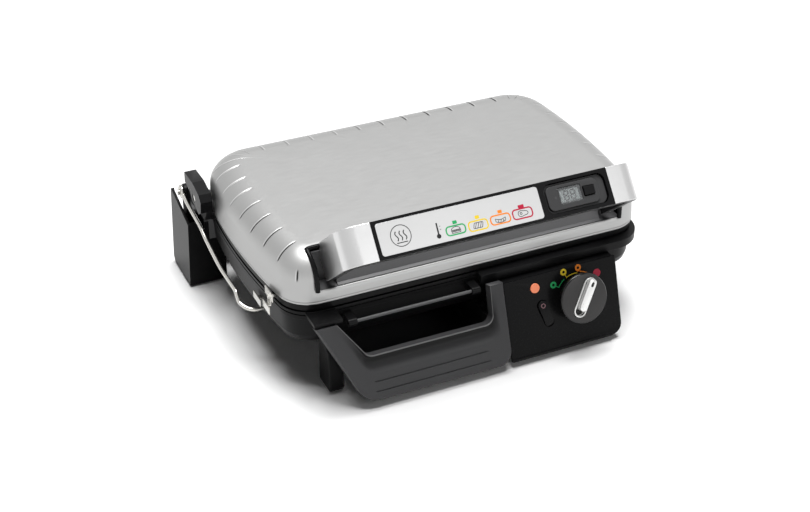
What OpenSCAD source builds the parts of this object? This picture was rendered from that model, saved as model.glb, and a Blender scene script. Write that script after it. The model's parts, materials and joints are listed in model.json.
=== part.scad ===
/* [Lid] */
// Width of the lid at its widest
lid_w = 408; // [380:1:440]
// Depth of the lid, front to rear
lid_d = 260; // [250:1:275]
// Height of the lid cover from its lip to its flat top
cover_h = 51.5; // [46:0.5:60]
// Sheet thickness of the lid cover
cover_t = 1.5; // [1:0.1:2]
// How far the long sides bow out over the half depth
side_bow = 11; // [6:0.5:14]
// Corner radius at the front
front_r = 34; // [34:0.5:37]
// Corner radius at the rear
rear_r = 50; // [46:1:56]
// How far the rounded shoulder reaches in from the front edge
shoulder = 30; // [26:1:31]
// How far the rounded shoulder reaches in from the rear edge
rear_shoulder = 40; // [34:1:42]
// Gap in the cover's front cut-out beside the handle's legs
cut_gap = 11; // [9:0.5:11.5]
// Height of the bright band under the cut-out
band_h = 14; // [10:0.5:17]
// Depth of the cut-out from the front
cutout_d = 21; // [18:0.5:24]
// Height of the black lid frame
frame_h = 7.2; // [6:0.1:9]
// Width of the lid frame's ring
frame_ring = 14; // [11:0.5:16]

/* [Base] */
// Height of the underside of the base housing
housing_z = 56; // [54:0.5:60]
// Height of the base housing
housing_h = 30; // [27:0.5:34]
// Wall of the base housing
housing_t = 2.5; // [2:0.1:3.5]
// Height of the rim strip round the lower plate
rim_h = 8.8; // [7:0.1:10]
// Gap between rim strip and lid frame
parting = 1.2; // [0.8:0.1:2]
// How far the lip over the control panel stands forward
lip_reach = 9.5; // [6:0.5:11]
// Left end of that lip
lip_x = 3; // [0:0.5:5]

/* [Plates] */
// Thickness of a cooking plate
plate_t = 3.5; // [3:0.1:5]
// Height of a rib
rib_h = 2.6; // [2:0.1:3]
// Distance from rib to rib
rib_pitch = 12; // [10:0.5:16]
// Width of a rib
rib_w = 3; // [2:0.1:4]
// Radius of the drain in the lower plate
drain_r = 9; // [7:0.5:11]
// Diameter of a heating tube
element_dia = 6.5; // [6:0.1:7]

/* [Handle] */
// How far the handle's end caps stand in from the sides of the lid
handle_in = 48; // [47:0.5:54]
// Height of the handle's face, along its slope
handle_face = 36.9; // [34:0.1:40]
// Depth of the handle bar with its skin
bar_t = 15; // [13:0.5:18]
// Radius of the handle's front corners, seen from above
handle_r = 17; // [15.5:0.5:20]
// Thickness of a leg of the handle
leg_t = 11; // [9:0.5:13]
// Slope of the handle's face
face_tilt = 50; // [46:0.5:53]
// Height of the middle of the handle's face
handle_z = 185.5; // [182:0.5:188]
// Distance from the lid's front edge forward to the middle of the face
handle_y = 40.5; // [38:0.5:43]
// Width of the black frame in the face
face_frame_w = 248; // [240:1:252]
// Width of the timer in the frame
timer_w = 67; // [66:0.5:74]
// Thickness of skins and face plates
skin_t = 2.4; // [2:0.1:3]
// Travel of the timer button
button_travel = 1.2; // [0.8:0.1:1.4]

/* [Stands and hinge] */
// Distance from the hinge axis back to the rear of the stands
stand_rear = 28; // [26:0.5:32]
// Depth of a stand
stand_d = 60; // [56:1:64]
// Width of a stand, measured to the inside of its upper part
stand_w = 26; // [25.5:0.5:31]
// Height of a stand's rear edge
stand_h = 93; // [88:1:95]
// Wall of a stand
stand_t = 3; // [2.5:0.1:3.5]
// Height of the hinge axis
hinge_z = 102; // [101:0.5:104]
// Radius of a hinge pin
pin_r = 3; // [2.5:0.1:3.5]
// Running clearance of the hinge pin, on the radius
pin_fit = 0.06; // [0.03:0.01:0.1]
// Thickness of a lid arm at the hinge
arm_t = 6.6; // [6:0.1:6.8]
// Diameter of the side wires
wire_dia = 4.2; // [3.4:0.1:4.4]
// Distance from the hinge axis to the front end of a lid arm
arm_reach = 71; // [66:0.5:73]
// Rise of a lid arm above the hinge axis
arm_rise = 34; // [30:0.5:36]

/* [Controls] */
// Slope of the control panel
panel_tilt = 71.5; // [70:0.5:74]
// Left edge of the control panel
panel_x = 23.5; // [23:0.5:26]
// Width of the control panel
panel_w = 128; // [120:1:132]
// Height of the control panel, along its slope
panel_h = 83; // [80:0.5:83.5]
// Thickness of the control panel
panel_t = 3; // [2.5:0.1:3.5]
// Radius of the thermostat knob
knob_r = 26.5; // [25.5:0.5:27]
// Height of the thermostat knob
knob_h = 14; // [12:0.5:16]
// Radius of the thermostat's shaft
shaft_r = 3; // [2.5:0.1:3.5]
// Radius of the indicator lens
lens_r = 5; // [4:0.5:6]
// Length of the rocker
rocker_l = 30; // [26:0.5:32]
// Width of the rocker
rocker_w = 10.5; // [9:0.5:11]

/* [Drip tray] */
// Width of the tray's front over its arms
tray_w = 198.5; // [192:0.5:199]
// Length of the tray's basin
basin_l = 225; // [200:1:230]
// Height of the tray's basin
basin_h = 35; // [30:0.5:35]
// Wall of the tray
tray_t = 2; // [1.6:0.1:2.5]
// Thickness of the tray's front
front_t = 11; // [9:0.5:12]
// Diameter of the bar across the opening
bar_dia = 3.4; // [3:0.1:4]

/* [Hidden] */
$fn = 64;

eps = 0.01;
half_w = lid_w / 2;
handle_w = lid_w - 2 * handle_in;
rear_y = 140.5;
front_y = rear_y - lid_d;
bow_y = rear_y - lid_d * 0.45;
bow_span = lid_d / 2;
bow_r = (bow_span * bow_span + side_bow * side_bow) / (2 * side_bow);
bow_x = half_w - bow_r;
front_cy = front_y + front_r;
rear_cy = rear_y - rear_r;
front_cx = bow_x + sqrt(pow(bow_r - front_r, 2) - pow(front_cy - bow_y, 2));
rear_cx = bow_x + sqrt(pow(bow_r - rear_r, 2) - pow(rear_cy - bow_y, 2));
front_turn = asin((bow_y - front_cy) / (bow_r - front_r));
rear_turn = asin((rear_cy - bow_y) / (bow_r - rear_r));

rim_z = housing_z + housing_h;
plane_z = rim_z + rim_h;
frame_z = plane_z + parting;
cover_z = frame_z + frame_h;
top_z = cover_z + cover_h;

// The stands are set by the hinge, which lies just behind the rear of the lid
hinge_back = 3.5;
hinge_y = rear_y + hinge_back;
stand_back = hinge_y + stand_rear;
stand_front = stand_back - stand_d;
stand_in = half_w - hinge_back;
stand_out = stand_in + stand_w;

// The tray's front stands just left of the control panel
tray_x1 = panel_x - 2;
tray_x0 = tray_x1 - tray_w;

arc_n = 9;
side_n = 8;

// One quarter of the plan outline, right side, from the front's middle to the rear's middle.
// It is drawn in by d at the front and by e at the rear, and changes evenly along the side.
function half_plan(d, e) = concat(
    [for (i = [0:4]) [front_cx * i / 5, front_y + d]],
    [for (i = [0:arc_n]) let (a = -90 + (90 - front_turn) * i / arc_n)
        [front_cx + (front_r - d) * cos(a), front_cy + (front_r - d) * sin(a)]],
    [for (i = [1:side_n - 1]) let (a = -front_turn + (front_turn + rear_turn) * i / side_n,
        r = bow_r - d - (e - d) * i / side_n) [bow_x + r * cos(a), bow_y + r * sin(a)]],
    [for (i = [0:arc_n]) let (a = rear_turn + (90 - rear_turn) * i / arc_n)
        [rear_cx + (rear_r - e) * cos(a), rear_cy + (rear_r - e) * sin(a)]],
    [for (i = [4:-1:0]) [rear_cx * i / 5, rear_y - e]]
);
function mirrored(p) = [for (i = [len(p) - 2:-1:1]) [-p[i][0], p[i][1]]];
function plan_ring(d, e) = let (h = half_plan(d, e)) concat(h, mirrored(h));
function ring_at(s) = [for (p = plan_ring(s[0], len(s) > 2 ? s[2] : s[0])) [p[0], p[1], s[1]]];

// Exact plan outline, drawn in by d
module plan(d) {
    intersection() {
        translate([bow_x, bow_y]) circle(r = bow_r - d, $fn = 256);
        translate([-bow_x, bow_y]) circle(r = bow_r - d, $fn = 256);
        translate([-half_w, front_cy - (front_r - d) * sin(front_turn)])
            square([lid_w, rear_cy + (rear_r - d) * sin(rear_turn) - front_cy
                + (front_r - d) * sin(front_turn)]);
    }
    for (s = [-1, 1]) {
        translate([s * front_cx, front_cy]) circle(r = front_r - d);
        translate([s * rear_cx, rear_cy]) circle(r = rear_r - d);
    }
    translate([-front_cx, front_y + d]) square([2 * front_cx, front_r]);
    translate([-rear_cx, rear_y - rear_r]) square([2 * rear_cx, rear_r - d]);
}

module plan_slab(d, z0, z1) {
    translate([0, 0, z0]) linear_extrude(z1 - z0) plan(d);
}

// Closed wall between two stacks of plan rings [inset, height, rear inset], both listed from the
// open rim. Each stack ends in a flat that rises to its middle by the crown.
module plan_shell(outer, inner, crown = 0) {
    n = len(plan_ring(0, 0));
    m = len(outer);
    k = len(inner);
    last = (m + k) * n;
    flip = outer[m - 1][1] < outer[0][1];
    points = concat(
        [for (s = concat(outer, inner)) each ring_at(s)],
        [[0, bow_y, outer[m - 1][1] + crown], [0, bow_y, inner[k - 1][1] + crown]]
    );
    faces = concat(
        [for (j = [0:m - 2], i = [0:n - 1]) each strip(j, j + 1, i, n)],
        [for (j = [m:m + k - 2], i = [0:n - 1]) each strip(j + 1, j, i, n)],
        [for (i = [0:n - 1]) each strip(m, 0, i, n)],
        [for (i = [0:n - 1]) [(m - 1) * n + (i + 1) % n, (m - 1) * n + i, last]],
        [for (i = [0:n - 1]) [(m + k - 1) * n + i, (m + k - 1) * n + (i + 1) % n, last + 1]]
    );
    polyhedron(points = points, convexity = 6,
        faces = flip ? [for (f = faces) [f[2], f[1], f[0]]] : faces);
}
function strip(a, b, i, n) = let (i2 = (i + 1) % n)
    [[a * n + i, b * n + i, b * n + i2], [a * n + i, b * n + i2, a * n + i2]];

// Shoulder of the cover: quarter ellipse from the side wall to the flat top
wall_in = 1.2;
shoulder_h = 28;
shoulder_n = 9;
cover_crown = 0.8;
function cover_profile(t) = concat(
    [[t, cover_z], [t + wall_in, top_z - shoulder_h]],
    [for (i = [1:shoulder_n]) let (a = 90 * i / shoulder_n, s = 1 - cos(a))
        [t + wall_in + (shoulder - wall_in) * s, top_z - shoulder_h + (shoulder_h - t) * sin(a),
            t + wall_in + (rear_shoulder - wall_in) * s]]
);

cut_x = handle_w / 2 + cut_gap;
cut_back = front_y + cutout_d;
band_top = cover_z + band_h;

module lid_cover() {
    color("silver") difference() {
        plan_shell(cover_profile(0), cover_profile(cover_t), cover_crown);
        translate([-cut_x, front_y - 10, band_top]) cube([2 * cut_x, cutout_d + 10, cover_h]);
        arm_bores(screw_r + 0.2, boss_end - 5, arm_x);
    }
}

lug_y0 = hinge_y - 60;
lug_y1 = hinge_y - 40;
arm_x = stand_in + 5;
lug_in = 14;
clip_w = 6;
clip_h = 3;
clip_gap = 0.4;
upper_clip_y = front_y + 39.5;
upper_clip_z = frame_z + frame_h / 2;

module side_lugs() {
    for (s = [-1, 1]) {
        translate([s > 0 ? arm_x - lug_in : -arm_x, lug_y0, frame_z])
            cube([lug_in, lug_y1 - lug_y0, frame_h]);
    }
}

module clip_hole(y, z) {
    translate([-half_w - 10, y - clip_w / 2 - clip_gap, z - clip_h / 2 - clip_gap])
        cube([50, clip_w + 2 * clip_gap, clip_h + 2 * clip_gap]);
}

module lid_frame() {
    color([0.07, 0.07, 0.07]) difference() {
        union() {
            plan_slab(1.2, frame_z, cover_z);
            side_lugs();
        }
        plan_slab(frame_ring, frame_z - 1, cover_z + 1);
        clip_hole(upper_clip_y, upper_clip_z);
    }
}

// Screws through the bezel's back wall into the handle's legs
leg_screw_x = handle_w / 2 - leg_t / 2 - 1.3;
leg_screw_z = [band_top + 10, band_top + 25];
module leg_bores(r, y0, y1) {
    for (x = [-leg_screw_x, leg_screw_x], z = leg_screw_z)
        translate([x, y0, z]) rotate([-90, 0, 0]) cylinder(r = r, h = y1 - y0);
}

// The bezel fills the cut-out: a sloped strip behind the band, and a pocket at each end for a leg
bezel_end = handle_w / 2 - leg_t - 1;
bezel_gap = 0.5;
bezel_wall = 2;
bezel_foot = front_y + cover_t + wall_in * band_h / (cover_h - shoulder_h) + 0.3;
bezel_top = top_z - 4.5;

module bezel_section(back, low) {
    polygon([
        [bezel_foot, low], [bezel_foot, band_top + 0.6], [bezel_foot + 3, band_top + 2],
        [cut_back - 2, bezel_top], [cut_back - 0.4, bezel_top], [back, bezel_top - 1], [back, low]
    ]);
}

module along_x(x0, x1) {
    translate([x0, 0, 0]) rotate([90, 0, 90]) linear_extrude(x1 - x0) children();
}

module lid_bezel() {
    low = upper_reflector_z + reflector_t + 0.4;
    color([0.3, 0.3, 0.31]) difference() {
        union() {
            along_x(-bezel_end, bezel_end) bezel_section(cut_back + 1, low);
            intersection() {
                along_x(-cut_x + bezel_gap, cut_x - bezel_gap) polygon([
                    [bezel_foot, low], [bezel_foot, band_top], [cut_back - bezel_wall, band_top],
                    [cut_back - bezel_wall, bezel_top], [cut_back - 0.4, bezel_top], [cut_back - 0.4, low]
                ]);
                plan_slab(bezel_foot - front_y + 0.1, low - 1, top_z);
            }
        }
        along_x(-bezel_end + bezel_wall, bezel_end - bezel_wall) polygon([
            [bezel_foot + 2, low - 1], [bezel_foot + 2, band_top - 1], [bezel_foot + 5, band_top],
            [cut_back - 2, bezel_top - 6], [cut_back - 2, low - 1]
        ]);
        leg_bores(screw_r + 0.2, cut_back - bezel_wall - 1, cut_back + 1);
    }
}

leg_screw_l = 11;
module handle_screws() {
    color([0.6, 0.6, 0.6]) {
        leg_bores(screw_r, cut_back - bezel_wall - leg_screw_l, cut_back - 0.3);
        leg_bores(screw_r * 1.8, cut_back - 0.3, cut_back + 2);
    }
}

// Handle frame of reference: x along the bar, y up the face, z out of the face
module on_face() {
    translate([0, front_y - handle_y, handle_z]) rotate([face_tilt, 0, 0]) children();
}

// Plan of the handle in its own x-z plane, drawn in by t from its outside
module handle_plan(t, legs) {
    hw = handle_w / 2 - t;
    r = handle_r - t;
    translate([-hw, -legs]) square([2 * hw, legs - t - r]);
    translate([-(hw - r), -legs]) square([2 * (hw - r), legs - t]);
    for (s = [-1, 1]) translate([s * (hw - r), -t - r]) circle(r = r);
}

module handle_band(t0, t1, front, legs) {
    rotate([90, 0, 0]) translate([0, 0, -handle_face / 2]) linear_extrude(handle_face) difference() {
        handle_plan(t0, legs);
        difference() {
            handle_plan(t1, legs + 1);
            translate([-handle_w, -front]) square([2 * handle_w, handle_w]);
        }
    }
}

leg_len = 72;
module behind_bar() {
    translate([0, -handle_face / 2 - 1, -leg_len - 1]) cube([handle_w, handle_face + 2, leg_len]);
}

// Everything of the handle stops at the back wall of the bezel's pockets
module handle_room() {
    translate([-half_w, front_y - 80, band_top + 0.4])
        cube([lid_w, 80 + cutout_d - bezel_wall - 0.4, 120]);
}

timer_x1 = face_frame_w / 2 - 4;
timer_x0 = timer_x1 - timer_w;
timer_z = 9;
timer_h = handle_face - 6.9;

module handle_core() {
    color([0.1, 0.1, 0.1]) difference() {
        intersection() {
            handle_bar();
            handle_room();
        }
        leg_bores(screw_r + 0.03, cut_back - bezel_wall - leg_screw_l - 1, cut_back);
    }
}

module handle_bar() {
    on_face() difference() {
        handle_band(skin_t + 0.2, leg_t, bar_t, leg_len);
        translate([timer_x0 - 0.3, -timer_h / 2 - 0.3, -timer_z - 0.4])
            cube([timer_w + 0.6, timer_h + 0.6, timer_z + 1]);
        translate([-handle_w, -handle_face / 2 - 1, -skin_t - 0.2])
            cube([2 * handle_w, handle_face + 2, 10]);
    }
}

module handle_cap(s) {
    color([0.75, 0.75, 0.75]) intersection() {
        on_face() intersection() {
            handle_band(0, skin_t, skin_t, leg_len);
            translate([s > 0 ? face_frame_w / 2 + 0.1 : -handle_w, -handle_face, -leg_len])
                cube([handle_w - face_frame_w / 2 - 0.1, 2 * handle_face, leg_len + 10]);
        }
        handle_room();
    }
}

label_x0 = -face_frame_w / 2 + 3.5;
label_x1 = timer_x0 - 5.5;
label_h = handle_face - 5.5;
label_t = 0.8;

module rounded_rect(x0, y0, x1, y1, r) {
    translate([x0 + r, y0]) square([x1 - x0 - 2 * r, y1 - y0]);
    translate([x0, y0 + r]) square([x1 - x0, y1 - y0 - 2 * r]);
    for (x = [x0 + r, x1 - r], y = [y0 + r, y1 - r]) translate([x, y]) circle(r = r);
}

module handle_frame() {
    color([0.06, 0.06, 0.06]) on_face() difference() {
        translate([-face_frame_w / 2, -handle_face / 2, -skin_t])
            cube([face_frame_w, handle_face, skin_t]);
        translate([0, 0, -label_t]) linear_extrude(2)
            rounded_rect(label_x0, -label_h / 2, label_x1, label_h / 2, 3);
        translate([0, 0, -skin_t - 1]) linear_extrude(skin_t + 2)
            rounded_rect(timer_x0, -timer_h / 2, timer_x1, timer_h / 2, 8);
    }
}

module label_plate() {
    color([0.85, 0.85, 0.85]) on_face() translate([0, 0, -label_t]) linear_extrude(label_t - 0.1)
        rounded_rect(label_x0 + 0.1, -label_h / 2 + 0.1, label_x1 - 0.1, label_h / 2 - 0.1, 2.9);
}

display_x0 = timer_x0 + 17.3;
display_w = 20;
display_h = 11.8;
display_y0 = 0.7 - display_h / 2;
button_x0 = timer_x0 + 41.5;
button_w = 11.5;
button_h = 8.6;
button_y0 = 0.5 - button_h / 2;
timer_floor = 3;
timer_block_w = 55.7;
timer_block_h = 24;

module timer_case() {
    color([0.16, 0.16, 0.17]) on_face() difference() {
        union() {
            translate([0, 0, -timer_z]) linear_extrude(timer_z - timer_floor)
                rounded_rect(timer_x0 + 0.3, -timer_h / 2 + 0.3, timer_x1 - 0.3, timer_h / 2 - 0.3, 7.7);
            translate([0, 0, -timer_floor - 1]) linear_extrude(timer_floor + 1) rounded_rect(timer_x0 + 2,
                -timer_block_h / 2, timer_x0 + 2 + timer_block_w, timer_block_h / 2, 6);
        }
        translate([display_x0 - 2, display_y0 - 2, -timer_z + 2]) cube([display_w + 4, display_h + 4, 20]);
        translate([button_x0 - 0.4, button_y0 - 0.4, -timer_z + 2])
            cube([button_w + 0.8, button_h + 0.8, 20]);
    }
}

module timer_display() {
    color([0.35, 0.4, 0.38]) on_face() translate([display_x0, display_y0, -timer_z + 2])
        cube([display_w, display_h, timer_z - 4.4]);
}

module timer_lens() {
    color([0.8, 0.85, 0.9, 0.4]) on_face()
        translate([display_x0 - 1.8, display_y0 - 1.8, -2]) cube([display_w + 3.6, display_h + 3.6, 1.6]);
}

module timer_button() {
    color([0.12, 0.12, 0.13]) on_face()
        translate([button_x0, button_y0, -timer_z + 2.3 + button_travel])
            cube([button_w, button_h, timer_z - 2.3 - button_travel + 1.6]);
}

// Lid arms: a narrow lever on the hinge pin that widens to a long block in front of the stand
block_out = stand_out - 8.1;
arm_in = arm_x;
arm_eye = 8;
boss_r = 6;
screw_r = 2;
boss_end = arm_x - 15.5;

// Point of a lid arm, as shares of its reach and its rise from the hinge axis
function on_arm(a, b) = [hinge_y - a * arm_reach, hinge_z + b * arm_rise];
boss_y = on_arm(0.66, 0.47)[0];
boss_z = on_arm(0.66, 0.47)[1];

low_boss_z = hinge_z + 9.5;

// Only the left arm carries the block; the right arm is a low plate without it
function arm_out(s) = s < 0 ? block_out : arm_in + arm_t;
function boss_height(s) = s < 0 ? boss_z : low_boss_z;

// Bores for the screws that hold the lid to its arms
module arm_bore(s, r, x0, x1) {
    translate([s > 0 ? x0 : -x1, boss_y, boss_height(s)]) rotate([0, 90, 0]) cylinder(r = r, h = x1 - x0);
}
module arm_bores(r, x0, x1) {
    for (s = [-1, 1]) arm_bore(s, r, x0, x1);
}

module arm_section() {
    polygon([
        [hinge_y - 2, hinge_z + arm_eye], on_arm(0.22, 0.72), on_arm(0.25, 0.97), on_arm(0.64, 1),
        on_arm(0.92, 0.86), on_arm(1, 0.66), on_arm(0.96, 0.26), [lug_y0, frame_z + 1],
        [lug_y1, frame_z + 1], [hinge_y - 24, hinge_z - arm_eye], [hinge_y - 1, hinge_z - arm_eye]
    ]);
}

module low_section() {
    polygon([
        [hinge_y - 2, hinge_z + arm_eye], [boss_y + 8, low_boss_z + boss_r + 0.5],
        [boss_y - 6, low_boss_z + boss_r + 0.5], [lug_y0 - 1, low_boss_z], [lug_y0, frame_z + 1],
        [lug_y1, frame_z + 1], [hinge_y - 24, hinge_z - arm_eye], [hinge_y - 1, hinge_z - arm_eye]
    ]);
}

module block_section() {
    polygon([
        on_arm(0.24, 0.62), on_arm(0.25, 0.97), on_arm(0.64, 1), on_arm(0.92, 0.86), on_arm(1, 0.66),
        on_arm(0.96, 0.26), on_arm(0.85, 0.12), on_arm(0.58, 0.28), on_arm(0.44, 0.56)
    ]);
}

module hinge_arm(s) {
    color([0.08, 0.08, 0.08]) difference() {
        mirror([s > 0 ? 0 : 1, 0, 0]) union() {
            along_x(arm_in, arm_in + arm_t) {
                if (s < 0) arm_section();
                else low_section();
            }
            if (s < 0) along_x(arm_in, block_out) block_section();
            translate([arm_in, hinge_y, hinge_z]) rotate([0, 90, 0]) cylinder(r = arm_eye, h = arm_t);
            difference() {
                translate([boss_end, boss_y, boss_height(s)]) rotate([0, 90, 0])
                    cylinder(r = boss_r, h = arm_in - boss_end + 0.1);
                plan_slab(0.1, cover_z, top_z);
            }
        }
        translate([s > 0 ? arm_in - 1 : -arm_in - arm_t - 1, hinge_y, hinge_z]) rotate([0, 90, 0])
            cylinder(r = pin_r + pin_fit, h = arm_t + 2);
        arm_bore(s, screw_r + 0.2, boss_end - 1, arm_out(s) + 1);
        arm_bore(s, 4.4, arm_out(s) - 3, arm_out(s) + 20);
    }
}

module arm_screws() {
    color([0.6, 0.6, 0.6]) for (s = [-1, 1]) {
        arm_bore(s, screw_r, boss_end, arm_out(s) - 2.9);
        arm_bore(s, screw_r * 2, arm_out(s) - 3, arm_out(s) - 0.6);
    }
}

// Cooking plates
plate_in = frame_ring + 0.8;
upper_rib_z = frame_z + 0.6;
upper_face_z = upper_rib_z + rib_h;
rib_count = floor((lid_w - 70) / rib_pitch / 2);
rib_y0 = front_y + 38;
rib_y1 = rear_y - 38;
plate_wall = 3;

module ribs(z0) {
    for (i = [-rib_count:rib_count]) {
        translate([i * rib_pitch - rib_w / 2, rib_y0, z0]) cube([rib_w, rib_y1 - rib_y0, rib_h + eps]);
    }
}

module upper_plate() {
    color([0.13, 0.13, 0.13]) union() {
        plan_slab(plate_in, upper_face_z, upper_face_z + plate_t);
        ribs(upper_rib_z);
        difference() {
            plan_slab(plate_in + 3, upper_face_z + 1, upper_face_z + plate_t + 6);
            plan_slab(plate_in + 3 + plate_wall, upper_face_z, upper_face_z + plate_t + 7);
        }
    }
}

lower_face_z = plane_z - rib_h - 1.4;
drain_x = -70;
drain_y = front_y + 32;
spout_h = 10;

module lower_plate() {
    color([0.13, 0.13, 0.13]) difference() {
        union() {
            plan_slab(plate_in, lower_face_z - plate_t, lower_face_z);
            ribs(lower_face_z - eps);
            difference() {
                plan_slab(plate_in + 3, lower_face_z - plate_t - 5, lower_face_z - plate_t + 1);
                plan_slab(plate_in + 3 + plate_wall, lower_face_z - plate_t - 6, lower_face_z);
            }
            translate([drain_x, drain_y, lower_face_z - plate_t - spout_h])
                cylinder(r = drain_r + 2, h = spout_h + 1);
        }
        translate([drain_x, drain_y, lower_face_z - plate_t - spout_h - 1])
            cylinder(r = drain_r, h = spout_h + plate_t + 2);
    }
}

// Heating tubes: a flat loop with two return bends, fed at the left rear
loop_x = half_w - 54;
loop_y0 = front_y + 60;
loop_y1 = rear_y - 60;
bend_r = (loop_y1 - loop_y0) / 6;

bend_n = 12;

// Tube of radius r along a path of points, its sides kept square to the up vector
function unit(v) = v / norm(v);
function path_dir(p, i) = unit(unit(p[min(i + 1, len(p) - 1)] - p[i] + (i == len(p) - 1 ? p[i] - p[i - 1] : [0, 0, 0]))
    + unit(p[i] - p[max(i - 1, 0)] + (i == 0 ? p[1] - p[0] : [0, 0, 0])));
function path_side(p, i, up) = unit(cross(path_dir(p, i), up));
module swept_tube(p, r, up, sides = 12) {
    n = len(p);
    points = [for (i = [0:n - 1]) let (
        a = path_side(p, i, up),
        b = cross(a, path_dir(p, i)),
        seg = i == 0 ? p[1] - p[0] : p[i] - p[i - 1],
        miter = 1 / max(0.8, unit(seg) * path_dir(p, i))
    ) for (j = [0:sides - 1]) let (t = 360 * (j + 0.5) / sides)
        p[i] + r * (a * cos(t) * miter + b * sin(t))];
    polyhedron(points = points, faces = concat(
        [for (i = [0:n - 2], j = [0:sides - 1]) let (k = (j + 1) % sides)
            [i * sides + j, i * sides + k, (i + 1) * sides + k, (i + 1) * sides + j]],
        [[for (j = [sides - 1:-1:0]) j], [for (j = [0:sides - 1]) (n - 1) * sides + j]]
    ), convexity = 8);
}

function bend(x, y, s) = [for (i = [0:bend_n]) let (a = -90 + 180 * i / bend_n)
    [x + s * bend_r * cos(a), y + bend_r * sin(a), 0]];

module heating_tube(z) {
    translate([0, 0, z]) swept_tube(concat(
        [[-loop_x, loop_y0, 0]], bend(loop_x, loop_y0 + bend_r, 1), bend(-loop_x, loop_y0 + 3 * bend_r, -1),
        bend(loop_x, loop_y0 + 5 * bend_r, 1), [[-loop_x, loop_y1, 0]]
    ), element_dia / 2, [0, 0, 1]);
}

upper_element_z = upper_face_z + plate_t + element_dia / 2 + 0.2;
lower_element_z = lower_face_z - plate_t - element_dia / 2 - 0.2;
module upper_element() { color([0.45, 0.42, 0.4]) heating_tube(upper_element_z); }
module lower_element() { color([0.45, 0.42, 0.4]) heating_tube(lower_element_z); }

reflector_in = plate_in + 3 + plate_wall + 1;
reflector_t = 0.8;
upper_reflector_z = upper_element_z + element_dia / 2 + 0.3;
lower_reflector_z = lower_element_z - element_dia / 2 - 0.3 - reflector_t;

module upper_reflector() {
    color([0.7, 0.7, 0.7]) union() {
        plan_slab(reflector_in, upper_reflector_z, upper_reflector_z + reflector_t);
        difference() {
            plan_slab(frame_ring + 2, upper_face_z + plate_t + 6.3, upper_reflector_z + reflector_t);
            plan_slab(reflector_in + 1, upper_face_z + plate_t + 6, upper_reflector_z + reflector_t + 1);
        }
    }
}

module lower_reflector() {
    color([0.7, 0.7, 0.7]) difference() {
        union() {
            plan_slab(reflector_in, lower_reflector_z, lower_reflector_z + reflector_t);
            difference() {
                plan_slab(plate_in + 3, lower_reflector_z, lower_face_z - plate_t - 5.3);
                plan_slab(reflector_in + 1, lower_reflector_z - 1, lower_face_z);
            }
        }
        translate([drain_x, drain_y, lower_reflector_z - 1]) cylinder(r = drain_r + 3, h = 10);
    }
}

// Spring clips that let the plates go, pressed inwards at the left edge
clip_t = 1.2;
clip_span = 20;
clip_drop = 8;
clip_step = 3.4;
clip_neck = 9;
upper_clip_x = half_w - 3.3;
lower_clip_x = half_w - 1.5;

// Sheet tab from its inner face at x outwards, with the stem that runs into the housing
module clip_tab(x, y0, z0, w, h) {
    translate([-x - clip_t, y0, z0]) cube([clip_t, w, h]);
}
module clip_stem(x, y, z, l) {
    translate([-x - 0.1, y - clip_w / 2, z - clip_h / 2]) cube([l, clip_w, clip_h]);
}

lower_clip_y = front_y + 71.5;
lower_clip_z = rim_z - 9;

// The upper clip is folded twice: a tab on the lid, a neck, and a second tab further out below it
module upper_plate_clip() {
    z0 = upper_clip_z - clip_h / 2 - 1;
    z1 = z0 - 7;
    color([0.8, 0.8, 0.78]) {
        clip_tab(upper_clip_x, upper_clip_y - clip_span / 2, z0, clip_span, clip_drop + 1);
        clip_tab(upper_clip_x, upper_clip_y - clip_neck / 2, z1, clip_neck, z0 - z1 + 0.1);
        translate([-upper_clip_x - clip_step - clip_t, upper_clip_y - clip_neck / 2, z1])
            cube([clip_step + clip_t, clip_neck, clip_t]);
        clip_tab(upper_clip_x + clip_step, upper_clip_y - clip_neck, z1 - clip_drop + clip_t, clip_span - 2,
            clip_drop);
        clip_stem(upper_clip_x, upper_clip_y, upper_clip_z, 15);
    }
}
module lower_plate_clip() {
    color([0.8, 0.8, 0.78]) {
        clip_tab(lower_clip_x, lower_clip_y - clip_span / 2, lower_clip_z - clip_drop / 2, clip_span, clip_drop);
        clip_stem(lower_clip_x, lower_clip_y, lower_clip_z, 12);
    }
}

// Base housing: a bowl with a rounded bottom edge
function housing_profile(t) = [
    [1.5 + t, rim_z], [2.5 + t, housing_z + 10], [4.5 + t, housing_z + 4], [8 + t, housing_z + 1.2 + t * 0.6],
    [13 + t, housing_z + t]
];

wire_end = [half_w - 11, front_y + 71, rim_z - 21.5];
housing_screw_at = [[150, 60], [-150, 60], [60, -20], [-153, -40]];
casing_screw_at = [[45, -80], [130, -80]];

module base_housing() {
    color([0.06, 0.06, 0.06]) difference() {
        plan_shell(housing_profile(0), housing_profile(housing_t));
        translate([drain_x, drain_y, housing_z - 1]) cylinder(r = drain_r + 5, h = 10);
        for (p = concat(housing_screw_at, casing_screw_at))
            translate([p[0], p[1], housing_z - 1]) cylinder(r = screw_r + 0.2, h = 10);
        clip_hole(lower_clip_y, lower_clip_z);
        for (s = [-1, 1]) translate([s * wire_end[0] - 15, wire_end[1], wire_end[2]]) rotate([0, 90, 0])
            cylinder(r = wire_dia / 2 + 0.3, h = 30);
    }
}

module lip_outline(d) {
    intersection() {
        translate([0, -lip_reach]) plan(d);
        translate([lip_x, front_y - lip_reach - 1]) square([half_w, 70]);
    }
}

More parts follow.
